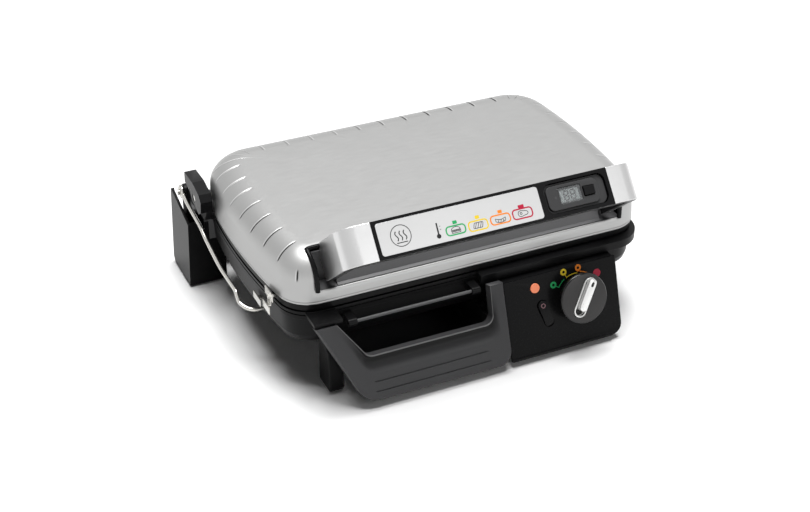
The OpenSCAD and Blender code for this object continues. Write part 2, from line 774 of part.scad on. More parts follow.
module base_rim() {
    color([0.1, 0.1, 0.1]) difference() {
        union() {
            translate([0, 0, rim_z]) linear_extrude(rim_h) union() {
                plan(0.6);
                lip_outline(0.6);
            }
            translate([tray_x0 - 1, front_y - lip_reach - 10, plane_z - 4.2])
                cube([29, lip_reach + 22, 3.8]);
        }
        plan_slab(frame_ring, rim_z - 1, plane_z + 1);
        difference() {
            plan_slab(-3, rim_z + 4.4, rim_z + 5.6);
            plan_slab(2, rim_z + 4, rim_z + 6);
            translate([lip_x, front_y - 20, rim_z]) cube([half_w, 60, rim_h]);
        }
    }
}

// Stands: open boxes with a slot at the rear for the arm and cheeks round the hinge pin
stand_low_in = stand_in - 16.5;
stand_foot = 2;
cheek_gap = 0.4;
outer_cheek = arm_in + arm_t + cheek_gap;
cheek_t = 3.4;
inner_cheek = arm_in - cheek_gap - cheek_t;
cheek_r = 8;

module stand_side() {
    polygon([
        [stand_front, stand_foot], [stand_front, stand_h - 15], [stand_back - 1, stand_h],
        [stand_back, stand_h - 3], [stand_back, stand_foot + 6], [stand_back - 5, stand_foot]
    ]);
}
module stand_end(t) {
    polygon([
        [stand_out - t, 0], [stand_low_in + t, 0], [stand_low_in + t, housing_z - 0.3 - t],
        [stand_in + t, housing_z - 0.3 - t], [stand_in + t, 120], [stand_out - 5 - t, 120]
    ]);
}
module stand_solid(t) {
    intersection() {
        along_x(0, stand_out + 5) stand_side();
        translate([0, stand_back + 5, 0]) rotate([90, 0, 0]) linear_extrude(stand_d + 10) stand_end(t);
    }
}

module stand(s) {
    color([0.05, 0.05, 0.05]) mirror([s > 0 ? 0 : 1, 0, 0]) difference() {
        union() {
            difference() {
                stand_solid(0);
                intersection() {
                    stand_solid(stand_t);
                    translate([0, stand_front + stand_t, stand_foot + 2.5])
                        cube([300, stand_d - 2 * stand_t, 200]);
                }
            }
            for (x = [inner_cheek, outer_cheek]) translate([x, 0, 0]) {
                translate([0, hinge_y - cheek_r, stand_foot + 1]) cube([cheek_t, 2 * cheek_r, hinge_z - stand_foot - 1]);
                translate([0, hinge_y, hinge_z]) rotate([0, 90, 0]) cylinder(r = cheek_r, h = cheek_t);
            }
        }
        translate([arm_in - cheek_gap, stand_back - stand_t - 1, 60])
            cube([block_out - arm_in + 3 * cheek_gap, 2 * stand_t, 100]);
        translate([arm_in - cheek_gap, stand_front - 1, stand_h - 24])
            cube([arm_t + 2 * cheek_gap, 30, 100]);
        translate([inner_cheek - 1, hinge_y, hinge_z]) rotate([0, 90, 0]) cylinder(r = pin_r, h = 40);
        translate([stand_out - 18, hinge_y, stand_foot - 1]) cylinder(r = screw_r, h = 6);
    }
}

pin_out = stand_out - 3.6;
module hinge_pin(s) {
    color([0.7, 0.7, 0.7]) mirror([s > 0 ? 0 : 1, 0, 0]) translate([0, hinge_y, hinge_z]) rotate([0, 90, 0]) {
        translate([0, 0, inner_cheek]) cylinder(r = pin_r, h = pin_out - inner_cheek);
        translate([0, 0, inner_cheek - 1.5]) cylinder(r = pin_r + 2, h = 1.5);
    }
}

// Side wires: bent rod from an eye on the hinge pin to a hook in the housing
wire_x = outer_cheek + cheek_t + 0.5 + wire_dia / 2;
wire_bend = wire_end[1] + 22;
wire_path = [
    [wire_x, hinge_y - pin_r - 0.3 - wire_dia / 2, hinge_z - 0.6], [wire_x, hinge_y - 25, hinge_z - 5],
    [wire_x, hinge_y - 62, hinge_z - 9], [wire_x, hinge_y - 84, hinge_z - 16],
    [wire_x, hinge_y - 121, hinge_z - 23.5], [wire_x, hinge_y - 150, hinge_z - 25],
    [wire_x, wire_bend, hinge_z - 25], [wire_x, wire_bend - 4, hinge_z - 30],
    [wire_x - 1, wire_bend - 8, wire_end[2] - 1], [wire_x - 5, wire_bend - 16, wire_end[2] - 2.5],
    [wire_x - 12, wire_end[1], wire_end[2]], wire_end
];

module side_wire(s) {
    color([0.8, 0.79, 0.74]) mirror([s > 0 ? 0 : 1, 0, 0]) {
        swept_tube(wire_path, wire_dia / 2, [0, 0, 1]);
        translate([wire_x, hinge_y, hinge_z]) rotate([0, 90, 0]) rotate_extrude()
            translate([pin_r + 0.3 + wire_dia / 2, 0]) circle(r = wire_dia / 2, $fn = 24);
    }
}

bridge_y0 = 142;
bridge_y1 = 168;
bridge_z0 = 14;
bridge_z1 = 44;
inlet_x = 150;
inlet_z = 28;
inlet_r = 8;
bridge_half = stand_low_in - 0.2;

module rear_bridge() {
    color([0.07, 0.07, 0.07]) difference() {
        translate([-bridge_half, bridge_y0, bridge_z0])
            cube([2 * bridge_half, bridge_y1 - bridge_y0, bridge_z1 - bridge_z0]);
        translate([-bridge_half - 1, bridge_y0 + stand_t, bridge_z0 - 1])
            cube([2 * bridge_half + 2, bridge_y1 - bridge_y0 - 2 * stand_t, bridge_z1 - bridge_z0 - 2]);
        translate([inlet_x, bridge_y1 - 5, inlet_z]) rotate([-90, 0, 0]) cylinder(r = inlet_r, h = 10);
    }
}

module cord_inlet() {
    color([0.04, 0.04, 0.04]) translate([inlet_x, bridge_y1, inlet_z]) rotate([-90, 0, 0]) difference() {
        union() {
            translate([0, 0, -stand_t - 3]) cylinder(r = inlet_r - 0.1, h = stand_t + 3);
            cylinder(r = inlet_r + 2, h = 2.5);
        }
        translate([0, 0, -10]) cylinder(r = 3.8, h = 20);
    }
}

// Feet
foot_x0 = tray_x0 + 17;
foot_x1 = foot_x0 + 15;
foot_y0 = front_y - 9.5;
foot_y1 = front_y + 20.5;
right_foot = [panel_x + panel_w - 19.5, front_y + 11.5];
module front_foot_left() {
    color([0.04, 0.04, 0.04]) along_x(foot_x0, foot_x1) polygon([
        [foot_y0 + 3, 1.5], [foot_y0, 6], [foot_y0 + 5, housing_z - 8], [front_y + 14, housing_z - 0.2],
        [foot_y1, housing_z - 0.2], [foot_y1, 1.5]
    ]);
}
module front_foot_right() {
    color([0.04, 0.04, 0.04]) translate([right_foot[0], right_foot[1], 1.5])
        cylinder(r = 10, h = casing_z - 1.5 - 0.2);
}
module rubber_pads() {
    color([0.15, 0.15, 0.15]) {
        for (s = [-1, 1]) translate([s * (stand_out - 18), hinge_y, 0]) cylinder(r = 9, h = stand_foot - 0.05);
        translate([(foot_x0 + foot_x1) / 2, front_y + 5.5, 0]) cylinder(r = 5.5, h = 1.45);
        translate([right_foot[0], right_foot[1], 0]) cylinder(r = 8, h = 1.45);
    }
}

// Control unit: everything on the sloped panel is drawn flat, then tilted into place
casing_z = 8;
panel_y = front_y - 44;
panel_z = 6.6;
casing_x0 = panel_x + 1.5;
casing_x1 = panel_x + panel_w - 1.5;
casing_t = 2.5;
casing_back = -50;
fall = cos(panel_tilt) / sin(panel_tilt);
panel_back = panel_t / sin(panel_tilt);
function slope_y(z) = panel_y + panel_back + (z - panel_z) * fall;

module on_panel() {
    translate([0, panel_y, panel_z]) rotate([panel_tilt, 0, 0]) children();
}

casing_top = rim_z - 2;
module casing_section(t) {
    polygon([
        [slope_y(casing_z + t) + (t > 0 ? -6 : 0.2), casing_z + t],
        [slope_y(casing_top - t) + (t > 0 ? -6 : 0.2), casing_top - t],
        [front_y - 1 - t, casing_top - t], [front_y - 1 - t, housing_z - 0.4 - t],
        [casing_back - t, housing_z - 0.4 - t], [casing_back - t, casing_z + t]
    ]);
}

module control_housing() {
    color([0.07, 0.07, 0.07]) difference() {
        along_x(casing_x0, casing_x1) casing_section(0);
        along_x(casing_x0 + casing_t, casing_x1 - casing_t) casing_section(casing_t);
        for (p = casing_screw_at) translate([p[0], p[1], housing_z - 10]) cylinder(r = screw_r + 0.2, h = 20);
    }
}

knob_x = 104;
knob_v = 51.5;
lens_at = [57.3, 70.4];
rocker_at = [66.4, 41.5];
rocker_turn = 18;
panel_r = 12;

module pill(l, w) {
    translate([-w / 2, -(l - w) / 2]) square([w, l - w]);
    for (s = [-1, 1]) translate([0, s * (l - w) / 2]) circle(r = w / 2);
}

module panel_outline() {
    x1 = panel_x + panel_w;
    translate([panel_x, 0]) square([panel_w - panel_r, panel_h]);
    translate([panel_x, panel_r]) square([panel_w, panel_h - panel_r]);
    translate([x1 - panel_r, panel_r]) circle(r = panel_r);
}

module control_panel() {
    color([0.12, 0.12, 0.12]) on_panel() difference() {
        union() {
            translate([0, 0, -panel_t]) linear_extrude(panel_t) panel_outline();
            linear_extrude(1.6) intersection() {
                panel_outline();
                translate([panel_x, 0]) square([panel_w - panel_r, 2.4]);
            }
        }
        translate([knob_x, knob_v, -10]) cylinder(r = shaft_r + 1, h = 20);
        translate([lens_at[0], lens_at[1], -10]) cylinder(r = lens_r - 1, h = 20);
        translate([lens_at[0], lens_at[1], -1.2]) cylinder(r = lens_r + 0.05, h = 20);
        translate([rocker_at[0], rocker_at[1], -10]) rotate([0, 0, rocker_turn]) linear_extrude(20)
            pill(rocker_l + 0.8, rocker_w + 0.8);
    }
}

module indicator_lens() {
    color([1, 0.45, 0.2]) on_panel() translate([lens_at[0], lens_at[1], -1.1]) {
        cylinder(r = lens_r, h = 2.2);
        translate([0, 0, -3]) cylinder(r = lens_r - 1.2, h = 3.5);
    }
}

module lamp_holder() {
    color([0.3, 0.3, 0.3]) on_panel() translate([lens_at[0], lens_at[1], -panel_t - 12]) difference() {
        cylinder(r = lens_r + 2, h = 11.9);
        translate([0, 0, 9]) cylinder(r = lens_r - 1, h = 10);
    }
}

// The rocker rests with its lower end pressed in; its pivot lies below the panel's face
rocker_throw = 5;
rocker_pivot = -2;
rocker_crown = 60;
rocker_top = 2.2;
module on_rocker() {
    on_panel() translate([rocker_at[0], rocker_at[1], 0]) rotate([0, 0, rocker_turn]) children();
}

module power_rocker() {
    color([0.05, 0.05, 0.05]) on_rocker() translate([0, 0, rocker_pivot]) rotate([rocker_throw, 0, 0])
        translate([0, 0, -rocker_pivot]) intersection() {
            translate([0, 0, -2.6]) linear_extrude(6) pill(rocker_l, rocker_w);
            translate([-rocker_w, 0, rocker_top - rocker_crown]) rotate([0, 90, 0])
                cylinder(r = rocker_crown, h = 2 * rocker_w, $fn = 128);
        }
}

module switch_body() {
    color([0.2, 0.2, 0.2]) on_rocker() difference() {
        translate([-rocker_w / 2 - 2, -rocker_l / 2 - 2, -panel_t - 16]) cube([rocker_w + 4, rocker_l + 4, 15.9]);
        translate([0, 0, -panel_t - 2]) linear_extrude(10) pill(rocker_l + 1, rocker_w + 1);
    }
}

pointer_w = 14;
pointer_l = 45;
pointer_rim = 1.3;
pointer_bar = [9.5, 41];
pointer_rise = 6;
pointer_turn = -30;
knob_gap = 1.2;

module on_knob(z) {
    on_panel() translate([knob_x, knob_v, z]) children();
}

module thermostat_knob() {
    color([0.1, 0.1, 0.1]) on_knob(knob_gap) difference() {
        union() {
            cylinder(r = knob_r, h = knob_h - 2);
            translate([0, 0, knob_h - 2]) cylinder(r = knob_r - 1.2, h = 2);
        }
        rotate([0, 0, pointer_turn]) translate([0, 0, knob_h - 4]) linear_extrude(10)
            pill(pointer_l + 0.4, pointer_w + 0.4);
        translate([0, 0, -1]) cylinder(r = shaft_r + 0.02, h = 7);
    }
}

// The pointer is a long cup let into the knob, with a raised bar to turn it by
module knob_pointer() {
    color([0.9, 0.9, 0.9]) on_knob(knob_gap + knob_h - 4) rotate([0, 0, pointer_turn]) {
        difference() {
            linear_extrude(4.8) pill(pointer_l, pointer_w);
            translate([0, 0, 1.2]) linear_extrude(10) pill(pointer_l - 2 * pointer_rim, pointer_w - 2 * pointer_rim);
        }
        linear_extrude(4 + pointer_rise) pill(pointer_bar[1], pointer_bar[0]);
    }
}

module thermostat_shaft() {
    color([0.6, 0.6, 0.6]) on_knob(-panel_t - 8) cylinder(r = shaft_r, h = panel_t + 8 + knob_gap + 5.8);
}

module thermostat_body() {
    color([0.75, 0.72, 0.65]) on_knob(-panel_t - 15.4) difference() {
        cylinder(r = 14, h = 15);
        translate([0, 0, 6]) cylinder(r = shaft_r + 0.06, h = 10);
    }
}

terminal = [50, 16, 14];
terminal_at = [panel_x + 36.5, front_y + 27.5];
terminal_pitch = terminal[0] * 0.226;
terminal_bore = 2.2;
module terminal_block() {
    color([0.85, 0.85, 0.8]) translate([terminal_at[0], terminal_at[1], casing_z + casing_t]) difference() {
        cube(terminal);
        for (i = [-1.5:1.5]) translate([terminal[0] / 2 + i * terminal_pitch, -1, terminal[2] * 0.57])
            rotate([-90, 0, 0]) cylinder(r = terminal_bore, h = terminal[1] + 2);
    }
}

// Drip tray: basin with side flanges, and a sloped U-shaped front that frames the opening
basin_x0 = tray_x0 + 42;
basin_x1 = tray_x1 - 7.5;
basin_z = 9;
flange = 6;
front_off = 5.6;
basin_y0 = front_y - 38;

function arc(cx, cy, r, a0, a1, n) = [for (i = [0:n]) let (a = a0 + (a1 - a0) * i / n)
    [cx + r * cos(a), cy + r * sin(a)]];

arm_top = panel_h + 3;
front_bend = tray_x0 + 53;
opening_y = panel_h * 0.58;
front_outer = concat(
    [[tray_x0, arm_top], [tray_x0 + 34.5, 13]], arc(front_bend, 15, 14, 200, 270, 12),
    arc(tray_x1 - 13.5, 14, 13.5, 270, 360, 14), [[tray_x1, arm_top]]
);
front_inner = concat(
    [[tray_x1 - 15, arm_top + 4], [tray_x1 - 16, opening_y + 12]],
    arc(tray_x1 - 25, opening_y + 9, 9, 0, -90, 12), arc(front_bend, opening_y + 10, 10, 270, 210, 10),
    [[tray_x0 + 18.5, arm_top + 4]]
);

// Finger recess under the opening's edge: it dips in and comes out again towards the edge
module finger_recess() {
    t = front_t;
    along_x(front_bend - 4, tray_x1 - 21) polygon([
        [opening_y - 19, t + 1], [opening_y - 19, t], [opening_y - 14.5, t - 3], [opening_y - 11, t - 5],
        [opening_y - 8, t - 5.4], [opening_y - 2, t - 0.6], [opening_y - 2, t + 1]
    ]);
}

module drip_tray() {
    color([0.3, 0.3, 0.31]) difference() {
        union() {
            translate([0, panel_y, panel_z]) rotate([panel_tilt, 0, 0]) translate([0, 0, front_off - front_t])
                difference() {
                    linear_extrude(front_t) difference() {
                        polygon(front_outer);
                        polygon(front_inner);
                    }
                    finger_recess();
                    for (v = [10, 20]) translate([front_bend - 3, v, front_t - 1])
                        cube([tray_x1 - 19 - front_bend, 1.2, 2]);
                }
            difference() {
                translate([basin_x0, basin_y0, basin_z]) cube([basin_x1 - basin_x0, basin_l, basin_h]);
                translate([basin_x0 + tray_t, basin_y0 - 5, basin_z + tray_t])
                    cube([basin_x1 - basin_x0 - 2 * tray_t, basin_l - tray_t + 5, basin_h]);
            }
            for (x = [basin_x0 - flange, basin_x1 - 0.5])
                translate([x, front_y + 12, basin_z + basin_h - tray_t])
                    cube([flange + 0.5, basin_l - 62, tray_t]);
        }
        translate([tray_x0 - 10, front_y - 100, -20]) cube([tray_w + 20, 300, 20 + panel_z + 0.4]);
    }
}

rail_t = 3;
rail_l = 150;
rail_gap = 0.5;
module tray_rails() {
    z0 = basin_z + basin_h - tray_t - rail_gap;
    color([0.08, 0.08, 0.08]) {
        translate([basin_x0 - flange - rail_gap - rail_t, front_y + 14, z0 - rail_t]) {
            cube([rail_t, rail_l, housing_z - z0 + rail_t - 0.1]);
            cube([rail_t + 5, rail_l, rail_t]);
        }
        translate([basin_x1 + flange + rail_gap, casing_back + 2, z0 - rail_t]) {
            cube([rail_t, rail_l - 70, housing_z - z0 + rail_t - 0.1]);
            translate([-5, 0, 0]) cube([rail_t + 5, rail_l - 70, rail_t]);
        }
    }
}

bar_y = front_y - 11.5;
bar_z = rim_z - 4;
bar_x0 = tray_x0 + 36;
bar_x1 = tray_x1 - 21.5;
bracket_w = 9;
module tray_bar() {
    color([0.45, 0.45, 0.45]) translate([bar_x0 + 1, bar_y, bar_z]) rotate([0, 90, 0])
        cylinder(r = bar_dia / 2, h = bar_x1 - bar_x0 - 2, $fn = 32);
}
module bar_brackets() {
    color([0.07, 0.07, 0.07]) for (x = [bar_x0, bar_x1 - bracket_w]) difference() {
        union() {
            translate([x, bar_y, bar_z - 4]) cube([bracket_w, front_y + 1.4 - bar_y, 8]);
            translate([x, bar_y, bar_z]) rotate([0, 90, 0]) cylinder(r = 4, h = bracket_w);
        }
        translate([x - 1, bar_y, bar_z]) rotate([0, 90, 0]) cylinder(r = bar_dia / 2 + 0.05, h = bracket_w + 2);
    }
}

module housing_screw(p, z) {
    translate([p[0], p[1], z]) cylinder(r = screw_r, h = housing_z + 9 - z);
    translate([p[0], p[1], z - 2.4]) cylinder(r = 2 * screw_r, h = 2.5);
}

module housing_screws() {
    color([0.6, 0.6, 0.6]) {
        for (p = housing_screw_at) housing_screw(p, housing_z - 0.2);
        for (p = casing_screw_at) housing_screw(p, housing_z - 0.4 - casing_t - 0.2);
    }
}

lid_cover();
lid_frame();
lid_bezel();
handle_core();
handle_cap(-1);  // handle_cap_left
handle_cap(1);  // handle_cap_right
handle_frame();
label_plate();
timer_case();
timer_lens();
timer_display();
timer_button();
hinge_arm(-1);  // hinge_arm_left
hinge_arm(1);  // hinge_arm_right
arm_screws();
upper_plate();
upper_element();
upper_reflector();
upper_plate_clip();
base_housing();
base_rim();
lower_plate();
lower_element();
lower_reflector();
lower_plate_clip();
stand(-1);  // stand_left
stand(1);  // stand_right
hinge_pin(-1);  // hinge_pin_left
hinge_pin(1);  // hinge_pin_right
side_wire(-1);  // side_wire_left
side_wire(1);  // side_wire_right
rear_bridge();
cord_inlet();
front_foot_left();
front_foot_right();
rubber_pads();
control_housing();
control_panel();
indicator_lens();
power_rocker();
thermostat_knob();
knob_pointer();
thermostat_body();
thermostat_shaft();
switch_body();
lamp_holder();
terminal_block();
drip_tray();
tray_rails();
tray_bar();
bar_brackets();
housing_screws();
handle_screws();
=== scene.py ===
"""Countertop contact grill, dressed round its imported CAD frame.

Lengths in this file are millimetres and are turned into metres where a mesh is
made. X points right, -Y to the front and +Z up, as in the CAD frame.
"""

import json
import logging
import math
from dataclasses import dataclass
from enum import Enum
from functools import cache

import bmesh
import bpy
import numpy as np
from mathutils import Matrix

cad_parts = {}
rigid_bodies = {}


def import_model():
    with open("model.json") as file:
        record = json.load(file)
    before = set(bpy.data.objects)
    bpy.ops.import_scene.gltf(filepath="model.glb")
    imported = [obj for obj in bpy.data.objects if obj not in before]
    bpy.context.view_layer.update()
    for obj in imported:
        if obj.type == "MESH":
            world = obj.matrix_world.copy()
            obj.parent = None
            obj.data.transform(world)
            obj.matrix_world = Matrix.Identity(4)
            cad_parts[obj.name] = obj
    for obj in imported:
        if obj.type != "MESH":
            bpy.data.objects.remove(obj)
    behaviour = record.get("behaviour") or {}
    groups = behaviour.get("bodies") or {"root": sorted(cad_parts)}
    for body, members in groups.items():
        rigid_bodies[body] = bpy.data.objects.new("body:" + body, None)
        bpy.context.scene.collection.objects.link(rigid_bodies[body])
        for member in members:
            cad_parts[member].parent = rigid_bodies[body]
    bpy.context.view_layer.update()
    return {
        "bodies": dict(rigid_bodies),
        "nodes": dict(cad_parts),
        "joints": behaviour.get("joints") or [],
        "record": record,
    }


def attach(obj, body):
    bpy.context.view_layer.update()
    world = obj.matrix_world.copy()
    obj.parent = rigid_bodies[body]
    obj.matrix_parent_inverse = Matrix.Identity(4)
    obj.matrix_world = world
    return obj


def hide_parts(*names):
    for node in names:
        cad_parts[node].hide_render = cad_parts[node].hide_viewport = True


LOG = logging.getLogger("contact_grill")
MM = 0.001
MERGE_GAP = 2e-6
Array = np.ndarray
Spot = tuple[float, float]
Point = Colour = tuple[float, float, float]
Socket = bpy.types.NodeSocket


class Body(Enum):
    """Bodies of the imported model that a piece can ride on."""

    BASE = "base"
    LID = "lid"
    TRAY = "tray"
    THERMOSTAT = "thermostat"
    ROCKER = "rocker"
    TIMER_KEY = "timer_key"
    UPPER_CLIP = "upper_clip"
    LOWER_CLIP = "lower_clip"


class Slot(Enum):
    """Material slots of the record."""

    SATIN_STEEL = "satin_steel"
    SILVER = "silver_metal"
    BRIGHT_STEEL = "bright_steel"
    ELEMENT = "element_metal"
    COATED = "coated_plate"
    BLACK = "black_plastic"
    BLACK_GLOSS = "black_gloss"
    GREY = "grey_plastic"
    TRAY_GREY = "tray_grey"
    DISPLAY = "display_grey"
    WINDOW = "clear_window"
    LENS = "amber_lens"
    CERAMIC = "ceramic"
    RUBBER = "black_rubber"


# ---------------------------------------------------------------- finishes


class Nodes:
    """A short way to add and join nodes in one tree."""

    def __init__(self, owner: bpy.types.Material | bpy.types.World) -> None:
        """Take the owner's node tree and empty it.

        Args:
            owner: the material or world that the nodes belong to.
        """
        owner.use_nodes = True
        self.owner, self.tree = owner, owner.node_tree
        self.tree.nodes.clear()

    def add(self, kind: str, **inputs: object) -> bpy.types.Node:
        """Add a node and set its unlinked sockets by name.

        Args:
            kind: the node's type, without ShaderNode before it.
            inputs: socket names, with underscores for blanks, and values.

        Returns:
            The new node.
        """
        node = self.tree.nodes.new("ShaderNode" + kind)
        for key, value in inputs.items():
            node.inputs[key.replace("_", " ")].default_value = value
        return node

    def join(self, source: object, target: Socket) -> None:
        """Link a socket to the target, or set the target to a plain value.

        Args:
            source: a socket, or the value.
            target: the socket that it feeds.
        """
        if isinstance(source, Socket):
            self.tree.links.new(source, target)
        else:
            target.default_value = source

    def noise(self, scale: Point, detail: float) -> Socket:
        """Noise on object coordinates.

        Args:
            scale: grains per metre along each axis.
            detail: octaves of the noise.

        Returns:
            The noise value's socket.
        """
        mapping = self.add("Mapping", Scale=scale)
        self.join(self.add("TexCoord").outputs["Object"], mapping.inputs["Vector"])
        noise = self.add("TexNoise", Scale=1.0, Detail=detail)
        self.join(mapping.outputs["Vector"], noise.inputs["Vector"])
        return noise.outputs["Fac"]

    def blend(self, factor: Socket, first: Colour | Socket, second: Colour | Socket) -> Socket:
        """Mix two colours.

        Args:
            factor: share of the second colour.
            first: colour or socket at factor 0.
            second: colour or socket at factor 1.

        Returns:
            The mixed colour's socket.
        """
        mix = self.add("Mix")
        mix.data_type = "RGBA"
        self.join(factor, mix.inputs["Factor"])
        for slot, value in ((6, first), (7, second)):
            self.join(value if isinstance(value, Socket) else (*value, 1.0), mix.inputs[slot])
        return mix.outputs[2]

    def spread(self, value: Socket, low: float, high: float, start: float = 0.3,
               end: float = 0.7) -> Socket:
        """Map a value to a range; start and end fit a noise's middle range.

        Args:
            value: the value's socket.
            low: result at start.
            high: result at end.
            start: value that gives low.
            end: value that gives high.

        Returns:
            The result's socket.
        """
        ranged = self.add("MapRange", From_Min=start, From_Max=end, To_Min=low, To_Max=high)
        self.join(value, ranged.inputs["Value"])
        return ranged.outputs["Result"]

    def reckon(self, operation: str, first: Socket, second: Socket | float) -> Socket:
        """Work out a sum of two values.

        Args:
            operation: the Math node's operation.
            first: the first value.
            second: the second value, or its socket.

        Returns:
            The result's socket.
        """
        node = self.add("Math")
        node.operation = operation
        self.join(first, node.inputs[0])
        self.join(second, node.inputs[1])
        return node.outputs[0]


class Surface(Nodes):
    """Nodes of a new material, with its output and main shader."""

    def __init__(self, name: str, **sockets: object) -> None:
        """Make the material.

        Args:
            name: name of the material.
            sockets: values of the main shader's own sockets.
        """
        super().__init__(bpy.data.materials.new(name))
        self.output = self.add("OutputMaterial")
        self.shader = self.add("BsdfPrincipled", **sockets)
        self.join(self.shader.outputs["BSDF"], self.output.inputs["Surface"])


def triple(value: float) -> Point:
    """Three equal numbers: an even grain or a neutral colour."""
    return value, value, value


@dataclass(frozen=True)
class Finish:
    """A surface whose colour, gloss and height carry fine grain.

    grain is in grains per metre along each axis, tone and gloss_spread are
    shares of the colour and roughness, and relief is the grain's height in mm.
    cloud is the tone share of a slow change over several centimetres.
    """

    name: str
    colour: Colour
    metallic: float = 0.0
    roughness: float = 0.45
    specular: float = 0.5
    grain: Point = triple(900.0)
    tone: float = 0.12
    gloss_spread: float = 0.1
    relief: float = 0.01
    cloud: float = 0.1
    coat: float = 0.0
    glow: float = 0.0

    def shade(self, share: float) -> Colour:
        """The colour, lighter or darker by a share of itself."""
        return tuple(min(1.0, channel * (1.0 + share)) for channel in self.colour)

    def sockets(self) -> dict[str, object]:
        """Values that are the same all over.

        Returns:
            Each value by the name of the shader's socket.
        """
        values = {"Metallic": self.metallic, "Specular_IOR_Level": self.specular,
                  "Coat_Weight": self.coat}
        if self.glow:
            values |= {"Emission_Color": (*self.colour, 1.0), "Emission_Strength": self.glow}
        return values

    def tint(self, nodes: Nodes, grain: Socket) -> Socket:
        """Colour of the surface from its grain and its slow change.

        Args:
            nodes: the material's nodes.
            grain: the fine noise.

        Returns:
            The colour's socket.
        """
        fine = nodes.blend(grain, self.shade(-self.tone), self.shade(self.tone))
        slow = nodes.spread(nodes.noise(triple(16.0), 2.0), 0.0, self.cloud)
        return nodes.blend(slow, fine, self.shade(-0.9))

    def build(self) -> bpy.types.Material:
        """Make the material.

        Returns:
            The new material.
        """
        nodes = Surface(self.name, **self.sockets())
        shader = nodes.shader.inputs
        grain = nodes.noise(self.grain, 3.0)
        nodes.join(self.tint(nodes, grain), shader["Base Color"])
        low, high = (self.roughness * (1 + s * self.gloss_spread) for s in (-1, 1))
        nodes.join(nodes.spread(grain, low, high), shader["Roughness"])
        bump = nodes.add("Bump", Strength=1.0, Distance=self.relief * MM)
        nodes.join(grain, bump.inputs["Height"])
        nodes.join(bump.outputs["Normal"], shader["Normal"])
        return nodes.owner


@dataclass(frozen=True)
class PressedSheet(Finish):
    """Sheet with painted shade in its grooves and painted highlights on their lips."""

    # painted shade colour of the grooves and painted highlight colour of their lips
    painted_shade_colour: Colour = triple(0.04)
    painted_highlight_colour: Colour = triple(0.92)

    def tint(self, nodes: Nodes, grain: Socket) -> Socket:
        """Sheet colour with painted shade where the point value is above 0 and a painted highlight
        below.

        Args:
            nodes: the material's nodes.
            grain: the fine noise.

        Returns:
            The colour's socket.
        """
        # point attribute of painted light: above 0 painted shade, below 0 a painted highlight
        painted_light = nodes.add("Attribute")
        painted_light.attribute_name = "painted_light"
        value = painted_light.outputs["Fac"]
        dark = nodes.blend(value, super().tint(nodes, grain), self.painted_shade_colour)
        return nodes.blend(nodes.reckon("MULTIPLY", value, -1.0), dark, self.painted_highlight_colour)


@dataclass(frozen=True)
class HeatedTube(Finish):
    """Sheathed tube with brown heat tints in broad bands."""

    heat_colour: Colour = (0.16, 0.09, 0.05)

    def tint(self, nodes: Nodes, grain: Socket) -> Socket:
        """Tube colour with heat tints.

        Args:
            nodes: the material's nodes.
            grain: the fine noise.

        Returns:
            The colour's socket.
        """
        heat = nodes.spread(nodes.noise((14.0, 30.0, 30.0), 3.0), 0.0, 0.7)
        return nodes.blend(heat, super().tint(nodes, grain), self.heat_colour)


@dataclass(frozen=True)
class Window(Finish):
    """Thin clear cover that lets the display show through it."""

    alpha: float = 0.14

    def sockets(self) -> dict[str, object]:
        """The finish's values with the cover's clearness."""
        return super().sockets() | {"Alpha": self.alpha}


